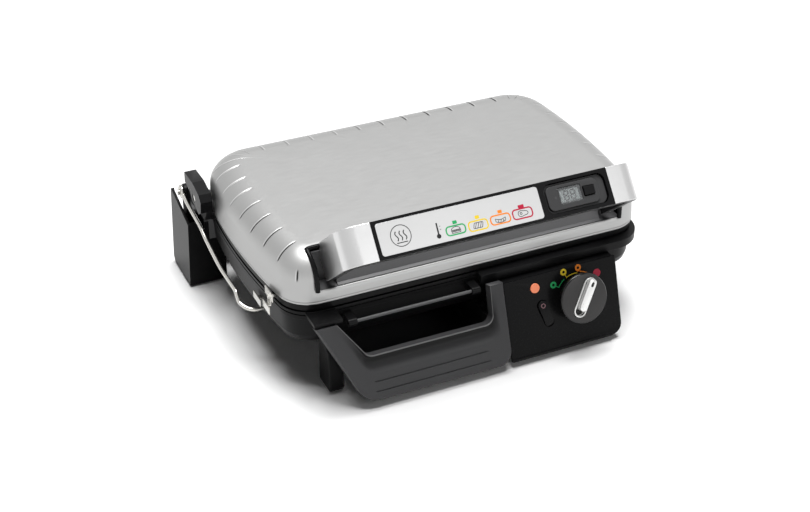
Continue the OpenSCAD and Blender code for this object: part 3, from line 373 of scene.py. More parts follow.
BRUSHED = (80.0, 2200.0, 2200.0)
FINISHES = {
    # the cover's finish paints shade in its slits and highlights on their lips
    Slot.SATIN_STEEL: PressedSheet(
        "satin_sheet", (0.37, 0.37, 0.367), 1.0, 0.45, grain=(60.0, 1900.0, 1900.0),
        tone=0.03, relief=0.0015, cloud=0.02),
    Slot.SILVER: Finish(
        "fine_silver", triple(0.56), 1.0, 0.32, grain=BRUSHED, tone=0.04,
        gloss_spread=0.12, relief=0.001, cloud=0.02),
    Slot.BRIGHT_STEEL: Finish(
        "drawn_steel", (0.52, 0.51, 0.48), 1.0, 0.2, grain=triple(700.0), tone=0.06,
        gloss_spread=0.2, relief=0.002, cloud=0.05),
    Slot.ELEMENT: HeatedTube(
        "heating_tube", (0.26, 0.25, 0.24), 1.0, 0.42, grain=triple(600.0), tone=0.15,
        gloss_spread=0.15),
    Slot.COATED: Finish(
        "non_stick_coating", triple(0.022), 0.0, 0.36, 0.35, triple(1300.0), 0.3,
        gloss_spread=0.12, relief=0.02),
    Slot.BLACK: Finish(
        "black_moulding", (0.005, 0.005, 0.0053), 0.0, 0.36, 0.1, triple(1500.0), 0.2),
    Slot.BLACK_GLOSS: Finish(
        "black_satin_gloss", (0.005, 0.005, 0.0053), 0.0, 0.26, 0.09, triple(800.0), 0.15,
        relief=0.002),
    Slot.GREY: Finish(
        "grey_moulding", (0.034, 0.034, 0.035), 0.0, 0.42, 0.22, triple(1400.0), 0.15,
        cloud=0.08),
    # the tray's finish paints shade in the finger recess and a highlight on the opening's rim
    Slot.TRAY_GREY: PressedSheet(
        "tray_moulding", (0.06, 0.06, 0.062), 0.0, 0.38, 0.14, triple(1600.0),
        gloss_spread=0.12, relief=0.008, cloud=0.08,
        painted_shade_colour=triple(0.006), painted_highlight_colour=triple(0.2)),
    Slot.DISPLAY: Finish(
        "liquid_crystal", (0.17, 0.195, 0.19), 0.0, 0.3, 0.3, triple(2500.0), 0.05,
        relief=0.001, cloud=0.05),
    Slot.WINDOW: Window(
        "clear_window", (0.5, 0.52, 0.53), 0.0, 0.08, 0.5, triple(200.0), 0.05,
        relief=0.0005, cloud=0.02),
    Slot.LENS: Finish(
        "lamp_lens", (0.93, 0.26, 0.12), 0.0, 0.3, 0.4, triple(500.0), 0.08,
        coat=0.3, glow=0.18),
    Slot.CERAMIC: Finish(
        "ceramic_insulator", (0.72, 0.69, 0.62), 0.0, 0.5, 0.4, tone=0.06,
        relief=0.02, cloud=0.05),
    Slot.RUBBER: Finish(
        "black_rubber", triple(0.014), 0.0, 0.7, 0.2, triple(1500.0), 0.25,
        gloss_spread=0.08, relief=0.04),
}
TURNED_DISC = Finish(
    "turned_disc", (0.045, 0.044, 0.044), 0.9, 0.4, 0.4, (300.0, 2400.0, 2400.0), 0.1,
    gloss_spread=0.12, relief=0.002, cloud=0.05)
LABEL_SILVER = Finish(
    "brushed_label", triple(0.47), 1.0, 0.36, grain=BRUSHED, tone=0.03, relief=0.001,
    cloud=0.02)
POINTER_SATIN = Finish(
    "pointer_satin", (0.82, 0.82, 0.81), 0.55, 0.3, grain=triple(600.0), tone=0.03,
    relief=0.001, cloud=0.03)
KNOB_BLACK = Finish(
    "polished_black", (0.006, 0.006, 0.0062), 0.0, 0.25, 0.4, tone=0.15, relief=0.003,
    cloud=0.05)
STRIP_GREY = Finish(
    "strip_moulding", (0.085, 0.085, 0.087), 0.0, 0.4, 0.25, triple(1400.0), 0.1,
    relief=0.008, cloud=0.05)


class Ink(Enum):
    """Printing colours, each with the name of its finish."""

    DARK = ("dark_ink", triple(0.012))
    GREEN = ("green_ink", (0.02, 0.32, 0.10))
    YELLOW = ("yellow_ink", (0.75, 0.55, 0.03))
    ORANGE = ("orange_ink", (0.80, 0.22, 0.015))
    RED = ("red_ink", (0.42, 0.01, 0.04))
    ROSE = ("rose_ink", (0.30, 0.16, 0.18))
    DIM = ("dim_mark", (0.05, 0.05, 0.052))

    def finish(self) -> Finish:
        """Finish of this ink: a thin print with a slightly uneven film."""
        return Finish(*self.value, specular=0.25, grain=triple(3000.0), tone=0.06,
                      relief=0.001, cloud=0.04)


@cache
def paint(finish: Finish) -> bpy.types.Material:
    """Material of a finish, made at its first use."""
    return finish.build()


# ------------------------------------------------------------------ shapes


@dataclass
class Patch:
    """Points in millimetres and the faces that join them."""

    points: Array
    faces: list

    def moved(self, change: "Plane") -> "Patch":
        """The patch with its flat coordinates carried onto a plane."""
        return Patch(change.at(self.points), self.faces)


def join(patches: list[Patch]) -> Patch:
    """One patch of several, each patch's face numbers raised past those before.

    Args:
        patches: the patches.

    Returns:
        The joined patch.
    """
    starts = np.cumsum([0] + [len(p.points) for p in patches[:-1]])
    faces = [tuple(int(i) + int(s) for i in f) for p, s in zip(patches, starts) for f in p.faces]
    return Patch(np.concatenate([p.points for p in patches]), faces)


def grid_faces(rows: int, columns: int, ring: bool = True, closed: bool = False) -> Array:
    """Quads between neighbours of a grid of points numbered row by row.

    Args:
        rows: number of rows.
        columns: number of points in a row.
        ring: whether each row closes on itself.
        closed: whether the last row joins the first.

    Returns:
        Array of face corners, one row a quad.
    """
    r, c = np.meshgrid(np.arange(rows if closed else rows - 1),
                       np.arange(columns if ring else columns - 1), indexing="ij")
    r2, c2 = (r + 1) % rows, (c + 1) % columns
    quads = [r * columns + c, r * columns + c2, r2 * columns + c2, r2 * columns + c]
    return np.stack(quads, -1).reshape(-1, 4)


def loft(points: Array, ring: bool = True, closed: bool = False, caps: bool = False) -> Patch:
    """Surface through a grid of points, with flat ends if asked.

    Args:
        points: rows x columns x 3 array.
        ring: whether each row closes on itself.
        closed: whether the last row joins the first.
        caps: whether the first and last rows are closed by one face each.

    Returns:
        The surface.
    """
    rows, columns = points.shape[:2]
    faces = [tuple(f) for f in grid_faces(rows, columns, ring, closed)]
    if caps:
        faces += [tuple(range(columns)), tuple(range((rows - 1) * columns, rows * columns))]
    return Patch(points.reshape(-1, 3), faces)


def lift(path: Array, level: Array | float) -> Array:
    """Flat points given a height, one for all or one for each."""
    return np.column_stack([path, np.broadcast_to(level, len(path))])


def hub(path: Array) -> Array:
    """The middle of a path, repeated for each of its points."""
    return np.broadcast_to(path.mean(0), path.shape)


def headings(path: Array, closed: bool) -> Array:
    """Unit directions of a path, each from the point before to the one after."""
    way = np.roll(path, -1, 0) - np.roll(path, 1, 0) if closed else np.gradient(path, axis=0)
    return way / np.maximum(np.linalg.norm(way, axis=1, keepdims=True), 1e-9)


def fillet(corners: list[Point], steps: int = 10, closed: bool = False) -> Array:
    """Polyline with each corner rounded by an arc that touches both its sides.

    The arc's tangent points lie radius x tan(half the turn) from the corner,
    and its points are a circle about the centre on the corner's bisector.

    Args:
        corners: x, y and radius of each corner.
        steps: segments of each arc.
        closed: whether the last corner joins the first.

    Returns:
        Array of x, y points.
    """
    spots = np.array([c[:2] for c in corners], float)
    out = []
    count = len(corners)
    for i, (x, y, radius) in enumerate(corners):
        if not closed and i in (0, count - 1) or radius <= 0:
            out.append(np.array([[x, y]]))
            continue
        back = spots[i - 1] - spots[i]
        ahead = spots[(i + 1) % count] - spots[i]
        back, ahead = back / np.linalg.norm(back), ahead / np.linalg.norm(ahead)
        half = math.acos(float(np.clip(back @ ahead, -1, 1))) / 2
        bisector = (back + ahead) / np.linalg.norm(back + ahead)
        centre = spots[i] + bisector * radius / math.sin(half)
        first = spots[i] + back * radius / math.tan(half) - centre
        last = spots[i] + ahead * radius / math.tan(half) - centre
        start = math.atan2(first[1], first[0])
        turn = (math.atan2(last[1], last[0]) - start + math.pi) % (2 * math.pi) - math.pi
        angle = start + turn * np.linspace(0, 1, steps + 1)
        out.append(centre + radius * np.stack([np.cos(angle), np.sin(angle)], -1))
    return np.concatenate(out)


def catmull(knots: Array, steps: int) -> Array:
    """Smooth curve through knots: each span is the cubic whose slopes at its
    ends are half the step from the knot before to the knot after.

    Args:
        knots: n x 3 array.
        steps: points in each span.

    Returns:
        The curve's points.
    """
    p = np.concatenate([2 * knots[:1] - knots[1:2], knots, 2 * knots[-1:] - knots[-2:-1]])
    t = np.linspace(0, 1, steps, endpoint=False)[None, :, None]
    a, b, c, d = (p[i:len(p) - 3 + i][:, None] for i in range(4))
    cubic = (2 * b + (c - a) * t + (2 * a - 5 * b + 4 * c - d) * t**2
             + (3 * b - a - 3 * c + d) * t**3)
    return np.concatenate([(0.5 * cubic).reshape(-1, 3), knots[-1:]])


def tube(path: Array, radius: float, sides: int = 16, closed: bool = False) -> Patch:
    """Round tube along a path: each path point carries a circle square to the
    path, turned so that its first axis stays level.

    Args:
        path: n x 3 array.
        radius: radius of the tube.
        sides: points round the tube.
        closed: whether the path returns to its start.

    Returns:
        The tube, with flat ends unless closed.
    """
    way = headings(path, closed)
    side = np.cross(way, np.array([0.0, 0.0, 1.0]))
    side[np.linalg.norm(side, axis=1) < 1e-3] = np.array([1.0, 0.0, 0.0])
    side /= np.linalg.norm(side, axis=1, keepdims=True)
    up = np.cross(side, way)
    turn = (np.arange(sides) * 2 * np.pi / sides)[:, None]
    ring = path[:, None] + radius * (side[:, None] * np.cos(turn) + up[:, None] * np.sin(turn))
    return loft(ring, True, closed, not closed)


def ribbon(path: Array, width: float, low: float, high: float, closed: bool = False) -> Patch:
    """Flat band along a flat path, with a rectangular section: each point is
    moved half the width to its left and right, at the low and the high level.

    Args:
        path: n x 2 array.
        width: width of the band.
        low: level of the underside.
        high: level of the top.
        closed: whether the path returns to its start.

    Returns:
        The band in flat coordinates.
    """
    way = headings(path, closed)
    left = np.stack([-way[:, 1], way[:, 0]], -1) * width / 2
    corners = [(1, low), (-1, low), (-1, high), (1, high)]
    ring = np.stack([lift(path + s * left, z) for s, z in corners], 1)
    return loft(ring, True, closed, not closed)


def slab(outline: Array, low: float, high: float) -> Patch:
    """Filled plate inside a flat outline that every point of its middle sees:
    the rows are the middle, the outline at both levels, and the middle below.

    Args:
        outline: n x 2 array.
        low: level of the underside.
        high: level of the top.

    Returns:
        The closed plate in flat coordinates.
    """
    rows = [(hub(outline), high), (outline, high), (outline, low), (hub(outline), low)]
    return loft(np.stack([lift(path, z) for path, z in rows]))


def circle(x: float, y: float, radius: float, count: int = 48, start: float = 0.0,
           end: float = 360.0) -> Array:
    """Points of a circle or arc: centre plus radius times cosine and sine."""
    angle = np.radians(np.linspace(start, end, count, endpoint=abs(end - start) < 360))
    return np.stack([x + radius * np.cos(angle), y + radius * np.sin(angle)], -1)


def rounded(x0: float, y0: float, x1: float, y1: float, radius: float, steps: int = 8) -> Array:
    """Outline of a rectangle with rounded corners."""
    corners = [(x0, y0, radius), (x1, y0, radius), (x1, y1, radius), (x0, y1, radius)]
    return fillet(corners, steps, True)


@dataclass(frozen=True)
class Plane:
    """A flat frame of reference: x to the right, y up its slope, z out of it."""

    origin: Point
    tilt: float

    def at(self, points: Array) -> Array:
        """Flat coordinates turned by the tilt about X and moved to the origin.

        Args:
            points: n x 3 array of flat coordinates.

        Returns:
            The same points in millimetres of the CAD frame.
        """
        c, s = math.cos(math.radians(self.tilt)), math.sin(math.radians(self.tilt))
        turn = np.array([[1, 0, 0], [0, c, s], [0, -s, c]])
        return points @ turn + np.array(self.origin)


FACE = Plane((0.0, -160.0, 185.5), 50.0)
PANEL = Plane((0.0, -163.5, 6.6), 71.5)


# ------------------------------------------------------------------ pieces


def place(name: str, data: bpy.types.ID) -> bpy.types.Object:
    """Put a new object in the scene, at the origin.

    Args:
        name: name of the object.
        data: its mesh, camera or lamp.

    Returns:
        The new object.
    """
    item = bpy.data.objects.new(name, data)
    bpy.context.scene.collection.objects.link(item)
    return item


class Workshop:
    """Turns patches and CAD nodes into finished pieces on the frame."""

    def __init__(self, frame: dict) -> None:
        """Keep the frame and look up each node's slot and body.
        """
        record = frame["record"]
        self.nodes = frame["nodes"]
        self.slot_of = {p["node"]: Slot(p["material_slot"]) for p in record["subparts"]}
        self.body_of = {node: Body(body) for body, names in record["behaviour"]["bodies"].items()
                        for node in names}

    def dress(self, piece: bpy.types.Object, slot: Slot, body: Body, finish: Finish | None,
              replaces: tuple[str, ...]) -> bpy.types.Object:
        """Give a piece its finish or its slot's, hang it on its body and hide the nodes it stands
        for.

        Args:
            piece: the new object.
            slot: the material slot in the record whose finish it takes when none is given.
            body: the body it rides on.
            finish: its finish, or None for the slot's own.
            replaces: the CAD nodes it stands for.

        Returns:
            The piece.
        """
        piece.data.materials.clear()
        piece.data.materials.append(paint(finish or FINISHES[slot]))
        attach(piece, body.value)
        if replaces:
            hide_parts(*replaces)
        LOG.info("piece %s: %d faces, on %s", piece.name, len(piece.data.polygons), body.value)
        return piece

    def make(self, name: str, patch: Patch, slot: Slot, body: Body, finish: Finish | None = None,
             replaces: tuple[str, ...] = (), sharp: float = 35.0, painted_light: Array | None = None,
             wall: float = 0.0) -> bpy.types.Object:
        """Make a piece from a patch, its doubles merged and faces turned out.

        Args:
            name: name of the piece.
            patch: its shape in millimetres.
            slot: its material slot.
            body: the body it rides on.
            finish: its finish, or None for the slot's own.
            replaces: the CAD nodes it stands for.
            sharp: angle past which an edge stays sharp, in degrees.
            painted_light: value at each point of the painted light attribute, above 0 painted shade
                and below 0 a painted highlight.
            wall: thickness given inwards by a Solidify modifier.

        Returns:
            The new object.
        """
        mesh = bpy.data.meshes.new(name)
        mesh.from_pydata((patch.points * MM).tolist(), [], patch.faces)
        # painted shade and painted highlight kept as a point attribute
        if painted_light is not None:
            values = mesh.attributes.new("painted_light", "FLOAT", "POINT").data
            values.foreach_set("value", painted_light.astype(np.float32))
        self.tidy(mesh, sharp)
        piece = place(name, mesh)
        if wall:
            thick = piece.modifiers.new("wall", "SOLIDIFY")
            thick.thickness, thick.offset = wall * MM, -1.0
            thick.use_even_offset = True
        return self.dress(piece, slot, body, finish, replaces)

    @staticmethod
    def tidy(mesh: bpy.types.Mesh, sharp: float, flat: float = 0.0) -> None:
        """Merge doubles, join faces of one plane, turn faces outwards and
        shade them smooth.

        Args:
            mesh: the mesh to change.
            sharp: angle in degrees past which an edge stays sharp.
            flat: angle in degrees below which faces are joined, or 0.
        """
        work = bmesh.new()
        work.from_mesh(mesh)
        bmesh.ops.remove_doubles(work, verts=work.verts, dist=MERGE_GAP)
        if flat:
            bmesh.ops.dissolve_limit(work, angle_limit=math.radians(flat), verts=work.verts,
                                     edges=work.edges)
        bmesh.ops.recalc_face_normals(work, faces=work.faces)
        work.to_mesh(mesh)
        work.free()
        mesh.shade_smooth()
        mesh.set_sharp_from_angle(angle=math.radians(sharp))

    def soften(self, node: str, width: float, segments: int = 2, finish: Finish | None = None,
               angle: float = 32.0) -> bpy.types.Object:
        """Stand a copy of a CAD node with rounded edges in its place.

        Args:
            node: name of the CAD node.
            width: width of the rounding in millimetres.
            segments: segments of the rounding.
            finish: its finish, or None for its slot's own.
            angle: edges turned by more than this are rounded, in degrees.

        Returns:
            The new object.
        """
        mesh = self.nodes[node].data.copy()
        mesh.name = node + "_body"
        self.tidy(mesh, angle, 0.4)
        piece = place(node + "_body", mesh)
        bevel = piece.modifiers.new("edges", "BEVEL")
        bevel.width, bevel.segments = width * MM, segments
        bevel.limit_method, bevel.angle_limit = "ANGLE", math.radians(angle)
        bevel.harden_normals = True
        bevel.miter_outer = "MITER_ARC"
        return self.dress(piece, self.slot_of[node], self.body_of[node], finish, (node,))

    def stamp(self, name: str, patches: list[Patch], plane: Plane, ink: Ink, body: Body) -> None:
        """Lay flat patches on a plane as one print."""
        self.make(name, join(patches).moved(plane), Slot.BLACK_GLOSS, body, ink.finish())

    def paint_node(self, node: str) -> None:
        """Give a carried-over CAD node the finish of its slot.

        Args:
            node: name of the CAD node.
        """
        mesh = self.nodes[node].data
        mesh.materials.clear()
        mesh.materials.append(paint(FINISHES[self.slot_of[node]]))


# ------------------------------------------------------------ the lid cover


@dataclass
class LidCover:
    """Pressed cover of satin sheet with slits round its shoulder."""

    width: float = 408.0
    depth: float = 260.0
    rear: float = 140.5
    bow: float = 11.0
    front_r: float = 34.0
    rear_r: float = 50.0
    base_z: float = 103.2
    top_z: float = 154.7
    wall_in: float = 1.2
    shoulder: float = 30.0
    rear_shoulder: float = 40.0
    shoulder_h: float = 28.0
    crown: float = 0.8
    sheet: float = 1.5
    cut_x: float = 167.0
    cut_in: float = 21.0
    cut_z: float = 117.2
    slit_w: float = 1.45
    slit_depth: float = 1.0
    slit_span: Spot = (0.42, 1.36)
    dash_span: Spot = (0.04, 0.5)
    rear_end: float = 1.56
    taper: float = 0.09
    side_slits: tuple[float, ...] = (85.0, 57.5, 32.5, 4.0, -25.0, -55.0, -85.0)
    dash_angle: float = -50.0
    rear_angles: Point = (74.0, 45.0, 17.0)
    rear_pitch: float = 27.5
    hem_groove: int = 4
    slide_reach: float = 16.0
    faint: float = 0.12
    bead_r: float = 2.4

    def __post_init__(self) -> None:
        """Work out the arcs of the plan outline, as the CAD does."""
        self.front = self.rear - self.depth
        self.mid_y = self.rear - self.depth * 0.45
        half = self.depth / 2
        self.bow_r = (half**2 + self.bow**2) / (2 * self.bow)
        self.bow_x = self.width / 2 - self.bow_r
        self.front_c = self.corner(self.front + self.front_r, self.front_r)
        self.rear_c = self.corner(self.rear - self.rear_r, self.rear_r)
        self.front_a = -math.asin((self.mid_y - self.front_c[1]) / (self.bow_r - self.front_r))
        self.rear_a = math.asin((self.rear_c[1] - self.mid_y) / (self.bow_r - self.rear_r))

    def corner(self, y: float, radius: float) -> Spot:
        """Centre of a corner arc at y that touches the bowed side from inside."""
        reach = math.sqrt((self.bow_r - radius) ** 2 - (y - self.mid_y) ** 2)
        return self.bow_x + reach, y

    def spans(self) -> list[tuple[float, float, float, float, float]]:
        """Arcs of the right half, from the front to the rear.

        Returns:
            Centre x, y, radius, first and last angle of each arc.
        """
        return [
            (*self.front_c, self.front_r, -math.pi / 2, self.front_a),
            (self.bow_x, self.mid_y, self.bow_r, self.front_a, self.rear_a),
            (*self.rear_c, self.rear_r, self.rear_a, math.pi / 2),
        ]

    def half_length(self) -> float:
        """Length of the outline from the front's middle to the rear's."""
        arcs = sum(r * (a1 - a0) for _, _, r, a0, a1 in self.spans())
        return self.front_c[0] + arcs + self.rear_c[0]

    def outline(self, s: Array) -> tuple[Array, Array]:
        """Points and outward directions at distances along the outline.

        The right half runs along the front, round each arc in turn and along
        the rear; the left half is its mirror image, walked backwards.

        Args:
            s: distances from the front's middle, of any shape.

        Returns:
            Base points and outward directions, each with a last axis of two.
        """
        half = self.half_length()
        s = np.mod(s, 2 * half)
        left = s > half
        t = np.where(left, 2 * half - s, s)
        base = np.stack([np.minimum(t, self.front_c[0]), np.full_like(t, self.front)], -1)
        out = np.stack([np.zeros_like(t), -np.ones_like(t)], -1)
        start = self.front_c[0]
        for x, y, radius, a0, a1 in self.spans():
            angle = a0 + np.clip((t - start) / radius, 0, a1 - a0)
            ray = np.stack([np.cos(angle), np.sin(angle)], -1)
            here = (t >= start)[..., None]
            base = np.where(here, np.array([x, y]) + radius * ray, base)
            out = np.where(here, ray, out)
            start += radius * (a1 - a0)
        last = (t >= start)[..., None]
        rear = np.stack([self.rear_c[0] - (t - start), np.full_like(t, self.rear)], -1)
        base = np.where(last, rear, base)
        out = np.where(last, np.array([0.0, 1.0]), out)
        flip = np.where(left, -1.0, 1.0)
        base[..., 0] *= flip
        out[..., 0] *= flip
        return base, out

    def slit_places(self) -> Array:
        """Distances along the outline at which the slits cross it.

        Returns:
            Array of distances: rear, sides, then four at each side's corners,
            of which the first is the front corner's dash.
        """
        spots = [(k * self.rear_pitch, self.rear) for k in range(-5, 6)]
        spots += [(s * (self.bow_x + math.sqrt(self.bow_r**2 - (y - self.mid_y) ** 2)), y)
                  for s in (-1, 1) for y in self.side_slits]
        corners = [(*self.front_c, self.front_r, math.radians(self.dash_angle))]
        corners += [(*self.rear_c, self.rear_r, math.radians(a)) for a in self.rear_angles]
        spots += [(s * (x + radius * math.cos(a)), y + radius * math.sin(a))
                  for s in (-1, 1) for x, y, radius, a in corners]
        fine = np.linspace(0, 2 * self.half_length(), 20000, endpoint=False)
        gap = np.linalg.norm(self.outline(fine)[0][None] - np.array(spots)[:, None], axis=-1)
        return fine[gap.argmin(1)]

    def columns(self, slits: Array) -> Array:
        """Distances of the grid's columns: even, and dense about each slit.

        Args:
            slits: distances of the slits.

        Returns:
            Sorted distances.
        """
        total = 2 * self.half_length()
        near = np.array([-1.7, -1.3, -1.0, -0.75, -0.5, -0.25, 0.0, 0.25, 0.5, 0.75, 1.0, 1.5])
        dense = (slits[:, None] + near * self.slit_w).ravel()
        even = np.linspace(0, total, 340, endpoint=False)
        even = even[np.abs(even[:, None] - slits).min(1) > 2.2 * self.slit_w]
        cut = np.array([self.cut_s(0.0), total - self.cut_s(0.0)])
        even = even[np.abs(even[:, None] - cut).min(1) > 1.2]
        return np.unique(np.round(np.mod(np.concatenate([even, dense, cut]), total), 4))

    def cut_s(self, inset: float) -> float:
        """Distance at which the cut-out's end, x = cut_x, crosses an inset ring."""
        turn = math.asin((self.cut_x - self.front_c[0]) / (self.front_r - inset))
        return self.front_c[0] + self.front_r * turn

    def profile(self) -> tuple[Array, Array, Array]:
        """Rows of the section: hem, wall, then a quarter ellipse whose reach
        is the shoulder at the front and the rear shoulder at the rear.

        Returns:
            Angle on the ellipse, front inset and height of each row.
        """
        wall_top = self.top_z - self.shoulder_h
        z = np.array([0.0, 0.25, 0.7, 2.1, 2.5, 2.9, 3.5, 8.0])
        d = np.array([0.55, 0.16, 0.0, 0.05, 0.45, 0.1, 0.13, 0.3])
        wall = np.array([self.cut_z, 0.5 * (self.cut_z + wall_top), wall_top])
        wall_d = self.wall_in * (wall - self.base_z) / (wall_top - self.base_z)
        reach = self.shoulder - self.wall_in
        cut = math.acos(1 - (self.cut_in - self.wall_in) / reach)
        even = np.linspace(0, math.pi / 2, 31)[1:]
        even = even[np.abs(even - cut) > 0.03]
        angle = np.sort(np.append(even, cut))
        inset = np.concatenate([d, wall_d, self.wall_in + reach * (1 - np.cos(angle))])
        height = np.concatenate([self.base_z + z, wall, wall_top + self.shoulder_h * np.sin(angle)])
        return np.concatenate([np.zeros(len(d) + len(wall)), angle]), inset, height

    def share(self, s: Array) -> Array:
        """Share of the rear shoulder: 0 along the front and its corners, 1
        along the rear and its corners, and even in angle along the sides.

        Args:
            s: distances along the outline.

        Returns:
            The share at each distance.
        """
        half = self.half_length()
        t = np.minimum(np.mod(s, 2 * half), 2 * half - np.mod(s, 2 * half))
        first = self.front_c[0] + self.front_r * (self.front_a + math.pi / 2)
        return np.clip((t - first) / (self.bow_r * (self.rear_a - self.front_a)), 0, 1)

    def skin(self, s: Array, angle: Array, front_in: Array, height: Array, press: Array) -> Array:
        """Points of the section carried round the outline: each column goes
        inwards by the inset, and the slits are pressed in along its normal.

        Columns near the cut-out's ends slide along the outline so that the
        ends stay at one x on every row.

        Args:
            s: distances of the columns.
            angle: angle on the shoulder's ellipse, one a row.
            front_in: inset of each row at the front.
            height: height of each row.
            press: depth of the slits at each point.

        Returns:
            Rows x columns x 3 array.
        """
        wider = (self.rear_shoulder - self.shoulder) * (1 - np.cos(angle))
        inset = front_in[:, None] + wider[:, None] * self.share(s)
        total, c0 = 2 * self.half_length(), self.cut_s(0.0)
        shift = np.array([self.cut_s(min(d, self.cut_in)) - c0 for d in front_in])
        away = np.minimum(np.abs(s - c0), np.abs(s - (total - c0)))
        sign = np.where(s < total / 2, 1.0, -1.0)
        slide = s + shift[:, None] * (sign * np.clip(1 - away / self.slide_reach, 0, None))
        base, out = self.outline(slide)
        along, up = np.gradient(inset, axis=0), np.gradient(height)[:, None]
        size = np.hypot(along, up)
        d = inset + press * up / size
        z = height[:, None] - press * along / size
        return np.concatenate([base - d[..., None] * out, z[..., None]], -1)

    def slits(self, s: Array, angle: Array) -> tuple[Array, Array]:
        """Depth and shade of the slits: each is a cosine across, cut off along
        the shoulder by a short taper at both ends.

        The shade is painted light: above 0 it is painted shade in the groove,
        below 0 a painted highlight on the lip, on the flank that faces the front.

        Args:
            s: distances of the columns.
            angle: angle on the shoulder's ellipse, one a row.

        Returns:
            Depth in millimetres and painted shade and highlight, each rows x columns.
        """
        places = self.slit_places()
        total = 2 * self.half_length()
        gap = (s[:, None] - places + total / 2) % total - total / 2
        nearest = np.abs(gap).argmin(1)
        dash = np.isin(places, places[[-4, -8]])[nearest]
        spots = self.outline(places)[0][nearest]
        rear = spots[:, 1] > self.rear_c[1]
        facing = np.where(s < total / 4, -1, 1)
        ahead = gap[np.arange(len(s)), nearest] / self.slit_w * facing
        across = 0.5 + 0.5 * np.cos(np.pi * np.clip(np.abs(ahead), 0, 1))
        start, end = (np.where(dash, a, b) for a, b in zip(self.dash_span, self.slit_span))
        end = np.where(rear, self.rear_end, end)
        window = (np.clip((angle[:, None] - start) / self.taper, 0, 1)
                  * np.clip((end - angle[:, None]) / self.taper, 0, 1))
        # painted shade strength by where the groove sits: stronger to the right along the rear and
        # towards the front along the sides, faint past x 140 but for the front dashes
        deep = np.where(rear, (spots[:, 0] + 70) / 120, (45 - spots[:, 1]) / 50)
        deep = np.clip(deep, self.faint, 1)
        deep = np.where((spots[:, 0] > 140) & ~dash, self.faint, deep)
        # painted shade across the groove, less a painted highlight on the lip beside it
        shade = (deep * np.clip(1.7 - np.abs(ahead + 0.1) * 2, 0, 1)
                 - 0.4 * np.clip(1.4 - np.abs(ahead + 1.1) * 3, 0, 1))
        return window * across * self.slit_depth, window * shade

    def build(self, shop: Workshop) -> None:
        """Make the cover: the skin, closed by rows that run to the crown's
        middle, with the front cut-out left open.

        Args:
            shop: where pieces are made.
        """
        s = self.columns(self.slit_places())
        angle, front_in, height = self.profile()
        press, shade = self.slits(s, angle)
        skin = self.skin(s, angle, front_in, height, press)
        middle = np.array([0.0, self.mid_y, self.top_z + self.crown])
        w = np.array([0.2, 0.45, 0.7, 0.88, 1.0])[:, None, None]
        top = skin[-1] + w * (middle - skin[-1])
        top[..., 2] = self.top_z + self.crown * (1 - (1 - w[..., 0]) ** 2)
        grid = np.concatenate([skin, top])
        # painted light of the cover: painted shade in the slits and painted highlights on their
        # lips, none on the top
        painted_light_map = np.concatenate([shade, np.zeros((len(w), len(s)))])
        # painted shade along the crease of the hem groove
        painted_light_map[self.hem_groove] = np.maximum(painted_light_map[self.hem_groove], 0.5)
        rows, count = grid.shape[:2]
        quads = grid_faces(rows, count)
        row, column = quads[:, 0] // count, quads[:, 0] % count
        low = int(np.argmin(np.abs(height - self.cut_z)))
        high = int(np.argmin(np.abs(front_in - self.cut_in)))
        tail, c0 = s[column], self.cut_s(0.0)
        front = (tail < c0 - 0.01) | (tail >= 2 * self.half_length() - c0 - 0.01)
        kept = quads[~((row >= low) & (row < high) & front)]
        patch = Patch(grid.reshape(-1, 3), [tuple(q) for q in kept])
        self.seal(shop, grid, s, low, high)
        shop.make("pressed_cover", patch, Slot.SATIN_STEEL, Body.LID, replaces=("lid_cover",),
                  sharp=50.0, painted_light=painted_light_map.ravel(), wall=self.sheet)

    def seal(self, shop: Workshop, grid: Array, s: Array, low: int, high: int) -> None:
        """Line each end of the cut-out with a black bead that runs up its edge
        and a short way along its rear side.

        Args:
            shop: where pieces are made.
            grid: the cover's points.
            s: distances of the columns.
            low: first row of the cut-out.
            high: last row of the cut-out.
        """
        column = int(np.argmin(np.abs(s - self.cut_s(0.0))))
        edge = grid[low:high + 1, column].copy()
        rise = np.linspace(0, 1, len(edge))
        edge[:, 0] += 2.2 * rise - 1.6
        edge[:, 2] -= 0.6
        turn = edge[-1] + np.array([[-1.6, 0.4, 0.2], [-5.0, 0.7, 0.3], [-22.0, 0.7, 0.4]])
        path = np.concatenate([edge, turn])
        for side, name in ((-1.0, "pocket_seal_left"), (1.0, "pocket_seal_right")):
            bead = tube(path * [side, 1.0, 1.0], 2.4, 14)
            bead = tube(path * [side, 1.0, 1.0], self.bead_r, 14)
            shop.make(name, bead, Slot.BLACK_GLOSS, Body.LID)


# ------------------------------------------------------------------ handle


